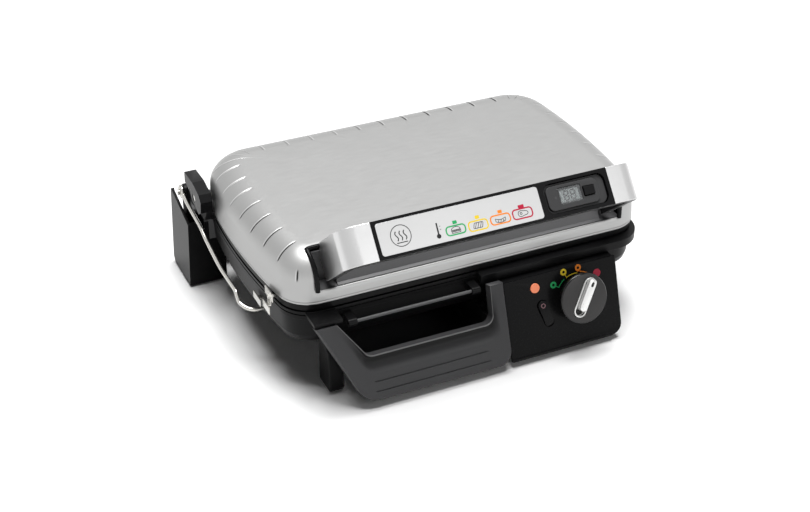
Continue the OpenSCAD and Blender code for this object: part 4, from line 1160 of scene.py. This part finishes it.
@dataclass
class Handle:
    """Bar handle with silver end caps, printed label and kitchen timer."""

    print_span: Spot = (-0.25, -0.05)
    badge: Spot = (-98.3, -0.1)
    digit_span: Spot = (-2.5, -2.08)
    digit_x: Spot = (76.6, 84.0)

    def build(self, shop: Workshop) -> None:
        """Round the handle's pieces and add its prints and digits.

        Args:
            shop: where pieces are made.
        """
        for node, width in (("handle_core", 0.8), ("handle_cap_left", 0.7),
                            ("handle_cap_right", 0.7), ("handle_frame", 0.5),
                            ("label_plate", 0.15), ("timer_case", 0.7),
                            ("timer_display", 0.2), ("timer_lens", 0.3), ("timer_button", 0.7)):
            shop.soften(node, width, finish=LABEL_SILVER if node == "label_plate" else None)
        self.print_label(shop)
        self.print_digits(shop)

    def band(self, path: Array | list[Spot], width: float, closed: bool = False) -> Patch:
        """Printed line on the label."""
        return ribbon(np.array(path), width, *self.print_span, closed)

    def print_label(self, shop: Workshop) -> None:
        """Print the round badge, thermometer, food frames and colour tabs.

        Args:
            shop: where pieces are made.
        """
        x, y = self.badge
        badge = [self.band(circle(x, y, 10.0), 0.75, True)]
        wave = np.linspace(0, 1, 24)
        for k in (-1, 0, 1):
            sway = x + 4.2 * k + 1.1 * np.sin(wave * 2 * np.pi)
            badge.append(self.band(np.stack([sway, y - 4.6 + 9.2 * wave], -1), 1.0))
        badge.append(self.band([(x - 5.5, y - 6.4), (x + 5.5, y - 6.4)], 0.9))
        bulb = [slab(circle(-62.1, -9.0, 2.2, 24), *self.print_span),
                self.band([(-62.0, -8.0), (-61.6, 3.6)], 1.5),
                self.band([(-59.6, -3.0), (-58.3, -3.0)], 0.5),
                self.band([(-59.6, 0.0), (-58.3, 0.0)], 0.5)]
        shop.stamp("label_badge", badge, FACE, Ink.DARK, Body.LID)
        shop.stamp("label_thermometer", bulb, FACE, Ink.DARK, Body.LID)
        frames = (
            (Ink.GREEN, (-53.9, -11.0, -34.4, -2.7), (-43.5, 0.4, 4.4), self.bun),
            (Ink.YELLOW, (-30.9, -12.0, -11.3, -3.0), (-20.4, 0.2, 4.4), self.bread),
            (Ink.ORANGE, (-7.8, -11.0, 12.6, -2.6), (3.5, 0.2, 4.4), self.sausage),
            (Ink.RED, (15.8, -11.0, 36.3, -1.8), (26.1, 0.4, 6.2), self.cutlet),
        )
        for number, (ink, (x0, y0, x1, y1), (tx, ty, tw), food) in enumerate(frames, 1):
            name = f"label_frame_{number}"
            ring = self.band(rounded(x0, y0, x1, y1, 3.2), 1.35, True)
            tab = slab(rounded(tx - tw / 2, ty - 1.6, tx + tw / 2, ty + 1.6, 0.7, 4),
                       *self.print_span)
            shop.stamp(name, [ring, tab], FACE, ink, Body.LID)
            lines = [self.band(path, 0.6, closed)
                     for path, closed in food((x0 + x1) / 2, (y0 + y1) / 2)]
            shop.stamp(name + "_food", lines, FACE, Ink.DARK, Body.LID)

    @staticmethod
    def bun(x: float, y: float) -> list[tuple[Array, bool]]:
        """Two halves of a bun with a filling line between them.

        Args:
            x: its middle across the label.
            y: its middle up the label.

        Returns:
            Its lines, each a path and whether it is closed.
        """
        top = circle(x, y + 0.2, 4.6, 18, 0, 180) * [1, 0.62] + [0, (y + 0.2) * 0.38]
        low = rounded(x - 4.6, y - 2.6, x + 4.6, y - 1.3, 0.6, 3)
        return [(top, True), (low, True), ([(x - 5.2, y - 0.5), (x + 5.2, y - 0.5)], False)]

    @staticmethod
    def bread(x: float, y: float) -> list[tuple[Array, bool]]:
        """Slice with slanting grill lines.

        Args:
            x: its middle across the label.
            y: its middle up the label.

        Returns:
            Its lines, each a path and whether it is closed.
        """
        corners = ((-5.5, -2.5), (3.8, -2.5), (5.6, 2.6), (-3.6, 2.6))
        crust = fillet([(x + dx, y + dy, 0.8) for dx, dy in corners], 4, True)
        return [(crust, True)] + [([(x + k - 1.2, y - 2.3), (x + k + 1.2, y + 2.3)], False)
                                  for k in (-2.6, 0.0, 2.6)]

    @staticmethod
    def sausage(x: float, y: float) -> list[tuple[Array, bool]]:
        """Bent sausage with three short cuts.

        Args:
            x: its middle across the label.
            y: its middle up the label.

        Returns:
            Its lines, each a path and whether it is closed.
        """
        a = np.linspace(-0.62, 0.62, 16)
        spine = np.stack([x + 9.0 * np.sin(a), y + 6.3 - 8.0 * np.cos(a)], -1)
        skin = np.concatenate([spine + [0, 1.4], spine[::-1] - [0, 1.4]])
        return [(skin, True)] + [([(x + k - 0.4, y - 2.6), (x + k + 0.6, y - 0.6)], False)
                                 for k in (-2.6, 0.0, 2.6)]

    @staticmethod
    def cutlet(x: float, y: float) -> list[tuple[Array, bool]]:
        """Cutlet: radius 1 + 0.18 cos(2t) + 0.12 cos(3t), with a small ring inside.

        Args:
            x: its middle across the label.
            y: its middle up the label.

        Returns:
            Its lines, each a path and whether it is closed.
        """
        t = np.linspace(0, 2 * np.pi, 36, endpoint=False)
        r = 1 + 0.18 * np.cos(2 * t) + 0.12 * np.cos(3 * t)
        blob = np.stack([x + 4.4 * r * np.cos(t), y + 3.1 * r * np.sin(t)], -1)
        return [(blob, True), (circle(x - 1.6, y + 0.2, 1.0, 16), True)]

    def print_digits(self, shop: Workshop) -> None:
        """Add the display's two seven-segment digits and the case's small dot.

        Args:
            shop: where pieces are made.
        """
        bars = []
        for x in self.digit_x:
            x0, x1, y0, ym, y1 = x - 2.3, x + 2.3, -3.7, 0.7, 5.1
            ends = [((x0, y0), (x1, y0)), ((x0, ym), (x1, ym)), ((x0, y1), (x1, y1)),
                    ((x0, y0), (x0, ym)), ((x0, ym), (x0, y1)), ((x1, y0), (x1, ym)),
                    ((x1, ym), (x1, y1))]
            for a, b in np.array(ends):
                gap = 0.5 * (b - a) / np.linalg.norm(b - a)
                bars.append(ribbon(np.stack([a + gap, b - gap]), 1.35, *self.digit_span))
        shop.stamp("display_digits", bars, FACE, Ink.DARK, Body.LID)
        dot = slab(circle(64.0, 0.3, 1.3, 24), -0.2, 0.06)
        shop.stamp("timer_dot", [dot], FACE, Ink.DIM, Body.LID)


# -------------------------------------------------------------------- base


@dataclass
class Base:
    """Lower housing, stands, hinge and feet."""

    wire_r: float = 2.1
    wire_x: float = 218.5
    eye_r: float = 5.4
    hinge: Spot = (144.0, 102.0)

    def build(self, shop: Workshop) -> None:
        """Round the base's pieces and sweep the side wires.

        Args:
            shop: where pieces are made.
        """
        for node, width in (("lid_frame", 1.6), ("lid_bezel", 0.5), ("base_housing", 0.6),
                            ("base_rim", 1.2), ("stand_left", 1.6), ("stand_right", 1.6),
                            ("hinge_arm_left", 1.4), ("hinge_arm_right", 1.4),
                            ("rear_bridge", 1.0), ("front_foot_left", 1.2),
                            ("front_foot_right", 0.8), ("rubber_pads", 0.5),
                            ("upper_plate_clip", 0.4), ("lower_plate_clip", 0.4),
                            ("tray_rails", 0.4), ("bar_brackets", 0.6), ("cord_inlet", 0.5),
                            ("lower_plate", 0.5), ("upper_plate", 0.5)):
            shop.soften(node, width, 3, STRIP_GREY if node == "lid_bezel" else None)
        for side, name in ((-1, "side_wire_left"), (1, "side_wire_right")):
            self.wire(shop, side, name)

    def wire(self, shop: Workshop, side: int, name: str) -> None:
        """Sweep one bent side wire with its eye on the hinge pin.

        Args:
            shop: where pieces are made.
            side: -1 at the left, 1 at the right.
            name: the CAD node that it stands for.
        """
        x, (hy, hz) = self.wire_x, self.hinge
        knots = np.array([
            [x, hy - self.eye_r, hz - 0.6], [x, 119, 97.0], [x, 82, 93.0], [x, 60, 86.2],
            [x, 23, 78.8], [x, -6, 78.2], [x, -26.5, 78.4], [x, -32, 74.5],
            [x - 0.6, -36.5, 69.5], [x - 4, -43, 67.0], [x - 9, -47.5, 65.6],
            [204.0, -48.5, 64.6], [193.0, -48.5, 64.5]])
        eye = np.radians(np.arange(0, 360, 10))
        ring = np.stack([np.full(len(eye), x), hy + self.eye_r * np.cos(eye),
                         hz + self.eye_r * np.sin(eye)], -1)
        patch = join([tube(catmull(knots, 8), self.wire_r), tube(ring, self.wire_r, 12, True)])
        patch.points[:, 0] *= side
        shop.make(name + "_rod", patch, Slot.BRIGHT_STEEL, Body.BASE, replaces=(name,),
                  sharp=60.0)


# ---------------------------------------------------------------- controls


@dataclass
class Controls:
    """Sloped panel with lamp, rocker, dial marks and knob."""

    knob: Spot = (104.0, 51.5)
    knob_top: float = 15.2
    pointer_turn: float = 60.0
    rocker: Spot = (63.4, 50.7)
    print_span: Spot = (-0.1, 0.12)

    def build(self, shop: Workshop) -> None:
        """Round the panel's pieces and print its marks.

        Args:
            shop: where pieces are made.
        """
        for node, width in (("control_panel", 0.8), ("control_housing", 1.0),
                            ("indicator_lens", 0.6), ("power_rocker", 0.7)):
            shop.soften(node, width, 3)
        self.print_dial(shop)
        self.turned_knob(shop)
        symbol = ribbon(circle(*self.rocker, 2.1, 24), 0.7, 1.9, 2.4, True)
        shop.stamp("rocker_symbol", [symbol], PANEL, Ink.ROSE, Body.ROCKER)

    def print_dial(self, shop: Workshop) -> None:
        """Print four rings with their stems, and the coloured arcs of the dial.

        Args:
            shop: where pieces are made.
        """
        centre = np.array(self.knob)
        marks = (
            (Ink.GREEN, (78.3, 68.7), (84.8, 64.8), (90.9, 72.2)),
            (Ink.YELLOW, (91.1, 79.2), (94.2, 73.1), (106.6, 74.9)),
            (Ink.ORANGE, (108.0, 80.0), (109.2, 74.9), (122.9, 69.3)),
            (Ink.RED, (128.8, 69.6), (124.6, 67.2), (130.2, 58.5)),
        )
        for number, (ink, spot, *ends) in enumerate(marks, 1):
            ring = ribbon(circle(*spot, 2.5, 32), 2.0, *self.print_span, True)
            if ink is Ink.RED:
                ring = slab(circle(*spot, 4.3, 32), *self.print_span)
            turns = (math.degrees(math.atan2(y - centre[1], x - centre[0])) for x, y in ends)
            radius = 0.5 * sum(math.dist(end, self.knob) for end in ends)
            arc = ribbon(circle(*self.knob, radius, 24, *turns), 1.0, *self.print_span)
            aim = (spot - centre) / np.linalg.norm(spot - centre)
            stem = ribbon(np.stack([centre + aim * (radius - 0.4), spot - aim * 3.2]), 0.8,
                          *self.print_span)
            shop.stamp(f"dial_mark_{number}", [ring, arc, stem], PANEL, ink, Body.BASE)

    def pill(self, length: float, width: float, shift: float) -> Array:
        """Outline of a pill on the knob, laid along the pointer's direction.

        Seen from its own middle the edge lies where the straight side is met,
        or past the side's end on the end circle.

        Args:
            length: overall length.
            width: overall width.
            shift: distance of its middle from the knob's axis.

        Returns:
            Points at every fourth degree, matched to those of a circle.
        """
        aim = math.radians(self.pointer_turn)
        turn = np.radians(np.arange(0.0, 360.0, 4.0))
        along, off = np.abs(np.cos(turn - aim)), np.abs(np.sin(turn - aim))
        half, side = (length - width) / 2, width / 2
        straight = side / np.maximum(off, 1e-6)
        ends = half * along + np.sqrt(np.maximum(side**2 - (half * off) ** 2, 0))
        reach = np.where(straight * along <= half, straight, ends)
        middle = np.array(self.knob) + shift * np.array([math.cos(aim), math.sin(aim)])
        return middle + reach[:, None] * np.stack([np.cos(turn), np.sin(turn)], -1)

    def pills(self, length: float, width: float, shift: float,
              steps: tuple[Spot, ...]) -> list[tuple[Array, float]]:
        """Rows of one pill, each drawn in and set above the knob's top.

        Args:
            length: overall length.
            width: overall width.
            shift: distance of its middle from the knob's axis.
            steps: inset and rise of each row.

        Returns:
            Outline and level of each row.
        """
        return [(self.pill(length - 2 * inset, width - 2 * inset, shift), self.knob_top + rise)
                for inset, rise in steps]

    @staticmethod
    def stack(rows: list[tuple[Array, float]], closed: bool = False) -> Patch:
        """Loft through flat outlines at their levels, on the panel."""
        grid = np.stack([lift(path, level) for path, level in rows])
        return loft(grid, True, closed).moved(PANEL)

    def turned_knob(self, shop: Workshop) -> None:
        """Make the knob: a body that widens upwards with a trench across it, a
        thin turned disc on top, and the pointer's cup and bar in the trench.

        Args:
            shop: where pieces are made.
        """
        top = self.knob_top

        def rings(*rows: Spot) -> list[tuple[Array, float]]:
            """Circles about the knob's axis from radius and level."""
            return [(circle(*self.knob, radius, 90), level) for radius, level in rows]

        trench = self.pill(43.4, 14.4, 1.2)
        middle = np.broadcast_to(self.knob, trench.shape)
        body = [(middle, 1.2), *rings((20.6, 1.2), (21.6, 2.2), (25.6, 10.5), (26.4, 12.2),
                                      (26.5, 13.2), (26.1, 14.3), (25.2, top)),
                (trench, top), (trench, top - 3.9), (hub(trench), top - 3.9)]
        shop.make("knob_body", self.stack(body), shop.slot_of["thermostat_knob"],
                  Body.THERMOSTAT, KNOB_BLACK, ("thermostat_knob",))
        disc = [*rings((24.9, top - 0.3), (24.9, top), (24.6, top + 0.12)),
                *self.pills(43.8, 14.8, 1.2, ((0.0, 0.12), (0.0, -0.3)))]
        shop.make("knob_disc", self.stack(disc, True), Slot.GREY, Body.THERMOSTAT, TURNED_DISC)
        wall = ((0.2, -3.8), (0.0, -3.4), (0.0, 0.5), (0.3, 0.8), (1.1, 0.8), (1.4, 0.5),
                (1.4, -2.7), (2.0, -3.2))
        cup = [(middle, top - 3.8), *self.pills(42.6, 13.8, 1.2, wall), (middle, top - 3.2)]
        rod = self.pills(34.8, 8.9, 4.5, ((0.0, -3.4), (0.0, 3.9), (0.35, 4.6), (1.1, 5.0)))
        heart = hub(rod[0][0])
        bar = [(heart, top - 3.4), *rod, (heart, top + 5.0)]
        patch = join([self.stack(cup), self.stack(bar)])
        shop.make("pointer_body", patch, shop.slot_of["knob_pointer"], Body.THERMOSTAT,
                  POINTER_SATIN, ("knob_pointer",))
        # painted shade: a dark sheet on the floor of the pointer's hollow
        floor = slab(self.pill(39.2, 10.4, 1.2), top - 3.25, top - 2.9)
        shop.stamp("pointer_hollow_painted_shade", [floor], PANEL, Ink.DARK, Body.THERMOSTAT)
        # painted shade: a dark oval standing for the small hole at the pointer's tip
        dot = slab(self.pill(5.2, 2.8, 16.0), top + 4.8, top + 5.06)
        shop.stamp("pointer_hole_painted_shade", [dot], PANEL, Ink.DARK, Body.THERMOSTAT)


# -------------------------------------------------------------------- tray


@dataclass
class Tray:
    """Drip tray: a basin behind a broad U-shaped front."""

    back: float = -5.4
    face: float = 5.6
    edge: float = 3.0
    recess: float = 19.0
    bend: float = -124.0
    opening: float = 48.1
    arm_top: float = 86.0
    legs: int = 10

    @staticmethod
    def resample(path: Array, count: int) -> Array:
        """Points at even distances along a polyline.

        Args:
            path: n x 2 array.
            count: number of points wanted.

        Returns:
            The points.
        """
        steps = np.concatenate([[0], np.cumsum(np.linalg.norm(np.diff(path, axis=0), axis=1))])
        even = np.linspace(0, steps[-1], count)
        return np.stack([np.interp(even, steps, path[:, k]) for k in range(2)], -1)

    def rims(self) -> tuple[Array, Array]:
        """Outer and inner edge of the front, matched point for point.

        Each edge is cut in five parts, leg, corner, foot, corner and leg, and
        each part has the same number of points on both edges.

        Returns:
            Outer and inner edges in the panel's flat coordinates.
        """
        steps = 14
        bend, top = self.bend, self.arm_top
        outer = fillet([(-177, top, 0), (-136.8, 1, 24), (21.5, 0.5, 13.5), (21.5, top, 0)], steps)
        inner = np.concatenate([
            [(-155.7, top)], circle(bend, self.opening + 10, 10, steps + 1, 210, 270),
            circle(-3.5, self.opening + 9, 9, steps + 1, -90, 0), [(6.4, top)]])
        parts = []
        for edge in (outer, inner):
            c1, c2 = slice(1, steps + 2), slice(steps + 2, 2 * steps + 3)
            leg_a = self.resample(np.stack([edge[0], edge[1]]), self.legs)[:-1]
            foot = self.resample(np.stack([edge[steps + 1], edge[steps + 2]]), 40)[1:-1]
            leg_b = self.resample(np.stack([edge[2 * steps + 2], edge[-1]]), self.legs)[1:]
            parts.append(np.concatenate([leg_a, edge[c1], foot, edge[c2], leg_b]))
        return parts[0], parts[1]

    def front(self) -> tuple[Patch, Array]:
        """The U-shaped front: a profile from its outer to its inner edge,
        carried round the U, with a rounded outer rim, two grooves along the
        foot and a concave finger recess below the thin rim of the opening.

        The recess's depth goes by the distance from the inner edge, which
        shrinks with the band's width up the arms, where the recess runs out.

        Returns:
            The closed front in the panel's flat coordinates, and each point's
            painted light: above 0 painted shade in the recess, below 0 a painted highlight on the
                rim.
        """
        outer, inner = self.rims()
        count = len(outer)
        width = np.linalg.norm(inner - outer, axis=1)
        across = (inner - outer) / width[:, None]
        narrow = np.minimum(1.0, width / width[count // 2])
        fade = np.clip(1 - (inner[:, 1] - self.opening - 2) / 32, 0, 1) * (0.35 + 0.65 * narrow)
        line = (outer[:, 0] > -127) & (outer[:, 0] < -0.5) & (outer[:, 1] < 12)
        none, flat = np.zeros(count), np.full(count, self.face)
        rows = [(none, np.full(count, self.back))]
        rows += [(none + self.edge * (1 - np.cos(a)), flat - self.edge * (1 - np.sin(a)))
                 for a in np.linspace(0, np.pi / 2, 6)]
        start = width - self.recess * narrow
        for v in (6.0, 9.9, 10.1, 11.1, 11.3, 14.0, 17.0, 19.9, 20.1, 21.1, 21.3, 25.0):
            part = (v - 3.75) / (28.6 - 3.75)
            sunk = 0.9 if v in (10.1, 11.1, 20.1, 21.1) else 0.0
            rows.append((self.edge + (start - self.edge) * part, flat - sunk * line))
        marks = [none] * len(rows)
        hollow = ((0.0, 0.9, 3.9, 5.0, 5.4, 5.2, 4.6, 3.2, 1.6, 0.5, 0.0),
                  (1.4, 1.7, 2.4, 3.6, 6.0, 8.0, 10.0, 12.5, 15.0, 17.2, self.recess))
        # painted light by distance from the opening: a painted highlight on the thin rim, then
        # painted shade under it, fading down the recess
        tone = ((-0.8, 0.9, 1.0, 0.9, 0.65, 0.35, 0.12, 0.0),
                (1.35, 1.5, 6.0, 8.0, 10.0, 12.5, 15.0, self.recess))
        for e in (*np.linspace(self.recess, 1.4, 26), 1.25, 0.7, 0.35, 0.1):
            deep = np.interp(e, hollow[1], hollow[0])
            rim = 0.35 if e < 0.2 else 0.1 if e < 0.5 else 0.0
            rows.append((width - e * narrow, flat - deep * fade - rim))
            # painted shade faded up the arms; the painted highlight on the rim keeps full strength
            dark = np.interp(e, tone[1], tone[0])
            marks.append(dark * np.where(dark > 0, fade, 1.0))
        rows += [(width, flat - 0.7), (width, np.full(count, self.back))]
        marks += [none] * 2
        grid = np.stack([lift(outer + across * d[:, None], z) for d, z in rows], 1)
        return loft(grid, caps=True), np.stack(marks, 1).ravel()

    @staticmethod
    def basin() -> Patch:
        """The basin: rounded rings down the outside, over the rim and down the
        inside, each side closed by a row at its middle.

        Returns:
            The closed basin in millimetres.
        """
        x0, x1, y0, y1, z0, z1, t = -135.0, 14.0, -155.5, 67.5, 9.0, 44.0, 2.0
        levels = [(6, z0), (2.5, z0 + 0.8), (0.8, z0 + 2.5), (0, z0 + 6), (0, z1 - 0.4),
                  (0.4, z1), (t - 0.4, z1), (t, z1 - 0.4), (t, z0 + 7), (t + 0.8, z0 + 4.2),
                  (t + 2.5, z0 + 2.7), (8, z0 + 2)]
        rings = []
        for d, z in levels:
            ring = rounded(x0 + d, y0 + d, x1 - d, y1 - d, max(1.5, 9 - d), 8)
            lean = 8.5 * (z - z0) / (z1 - z0)
            ring[:, 1] += lean * np.clip((-100.0 - ring[:, 1]) / 55.5, 0, 1)
            rings.append(lift(ring, z))
        middle = np.broadcast_to(((x0 + x1) / 2, (y0 + y1) / 2), (len(rings[0]), 2))
        tub = loft(np.stack([lift(middle, z0), *rings, lift(middle, z0 + 2)]))
        flanges = [slab(rounded(a, -107.5, b, 55.5, 1.5, 5), z1 - t, z1)
                   for a, b in ((x0 - 6, x0 + 0.5), (x1 - 0.5, x1 + 6))]
        return join([tub, *flanges])

    def build(self, shop: Workshop) -> None:
        """Make the front and the basin, which together stand for the CAD tray.

        Args:
            shop: where pieces are made.
        """
        front, marks = self.front()
        shop.make("tray_front", front.moved(PANEL), Slot.TRAY_GREY, Body.TRAY,
                  replaces=("drip_tray",), painted_light=marks)
        shop.soften("tray_bar", 0.4, 2, STRIP_GREY)
        shop.make("tray_basin", self.basin(), Slot.TRAY_GREY, Body.TRAY,
                  replaces=("drip_tray",))


# ------------------------------------------------------------------- stage


@dataclass
class Studio:
    """Camera, floor, backdrop light and lamps, all in metres."""

    eye: Point = (-0.58147, -1.22447, 0.90227)
    azimuth: float = -24.6
    elevation: float = 32.3
    lens: float = 66.667
    ambient: float = 0.045
    floor_reach: float = 9.0

    def camera(self) -> None:
        """Place the camera at the photograph's viewpoint."""
        data = bpy.data.cameras.new("camera")
        data.lens, data.sensor_width = self.lens, 36.0
        data.clip_start, data.clip_end = 0.05, 60.0
        camera = place("camera", data)
        camera.location = self.eye
        turn = math.radians(90 - self.elevation), 0.0, math.radians(self.azimuth)
        camera.rotation_euler = turn
        bpy.context.scene.camera = camera

    def floor(self) -> None:
        """Lay a white floor that shows the shadow, with a glow that grows from
        near the object outwards, where the lamps' light falls off."""
        x, y = np.meshgrid(*[np.linspace(-self.floor_reach, self.floor_reach, 13)] * 2)
        patch = loft(np.stack([x, y, np.zeros_like(x)], -1), ring=False)
        mesh = bpy.data.meshes.new("floor")
        mesh.from_pydata(patch.points.tolist(), [], patch.faces)
        nodes = Surface("pale_floor", Base_Color=(*triple(0.93), 1.0), Roughness=0.7,
                        Specular_IOR_Level=0.1)
        light = nodes.add("Emission")
        self.background(nodes, light, 1.0, 0.0)
        away = nodes.add("VectorMath")
        away.operation = "LENGTH"
        nodes.join(nodes.add("TexCoord").outputs["Object"], away.inputs[0])
        glow = nodes.spread(away.outputs["Value"], 0.01, 1.0, 0.8, 3.0)
        nodes.join(nodes.blend(glow, triple(0.0), triple(1.0)), light.inputs["Color"])
        both = nodes.add("AddShader")
        nodes.join(nodes.shader.outputs["BSDF"], both.inputs[0])
        nodes.join(light.outputs[0], both.inputs[1])
        nodes.join(both.outputs[0], nodes.output.inputs["Surface"])
        mesh.materials.append(nodes.owner)
        place("floor", mesh)

    @staticmethod
    def background(nodes: Nodes, light: bpy.types.Node, shown: float, other: float) -> None:
        """Give a light one strength for camera, glossy and clear rays and
        another for the rest.

        Args:
            nodes: the nodes it belongs to.
            light: emission or background node.
            shown: strength for camera, glossy and transmission rays.
            other: strength for all other rays.
        """
        path = nodes.add("LightPath")
        total = path.outputs["Is Camera Ray"]
        for key in ("Is Glossy Ray", "Is Transmission Ray"):
            total = nodes.reckon("MAXIMUM", total, path.outputs[key])
        nodes.join(nodes.spread(total, other, shown, 0.0, 1.0), light.inputs["Strength"])

    def world(self) -> None:
        """Light the room evenly, with a white background."""
        world = bpy.data.worlds.new("room")
        bpy.context.scene.world = world
        nodes = Nodes(world)
        light = nodes.add("Background", Color=(*triple(1.0), 1.0))
        self.background(nodes, light, 1.0, self.ambient)
        nodes.join(light.outputs[0], nodes.add("OutputWorld").inputs["Surface"])

    @staticmethod
    def lamp(name: str, spot: Point, aim: Point, size: float, watts: float) -> None:
        """Add a square area lamp at a place, aimed at a point.

        Args:
            name: name of the lamp.
            spot: its place.
            aim: the point it faces.
            size: length of its sides.
            watts: its power.
        """
        data = bpy.data.lights.new(name, "AREA")
        data.size, data.energy = size, watts
        way = np.array(spot) - np.array(aim)
        way /= np.linalg.norm(way)
        side = np.cross([0.0, 0.0, 1.0], way)
        side /= np.linalg.norm(side)
        turn = np.stack([side, np.cross(way, side), way], 1)
        lamp = place(name, data)
        lamp.matrix_world = Matrix.Translation(spot) @ Matrix(turn.tolist()).to_4x4()

    def build(self) -> None:
        """Make the whole stage."""
        self.camera()
        self.floor()
        self.world()
        self.lamp("key_lamp", (0.15, 0.2, 4.6), (0.0, 0.0, 0.1), 2.5, 345.0)
        self.lamp("front_lamp", (0.6, -1.6, 1.0), (0.0, -0.1, 0.05), 0.8, 4.0)


def main() -> None:
    """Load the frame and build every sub-assembly."""
    logging.basicConfig(level=logging.INFO, format="%(name)s: %(message)s")
    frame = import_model()
    bpy.context.scene.view_settings.view_transform = "Standard"
    Studio().build()
    shop = Workshop(frame)
    for assembly in (LidCover(), Handle(), Base(), Controls(), Tray()):
        assembly.build(shop)
        LOG.info("built %s", type(assembly).__name__)
    for node, piece in shop.nodes.items():
        if not piece.hide_render:
            shop.paint_node(node)


if __name__ == "__main__":
    main()
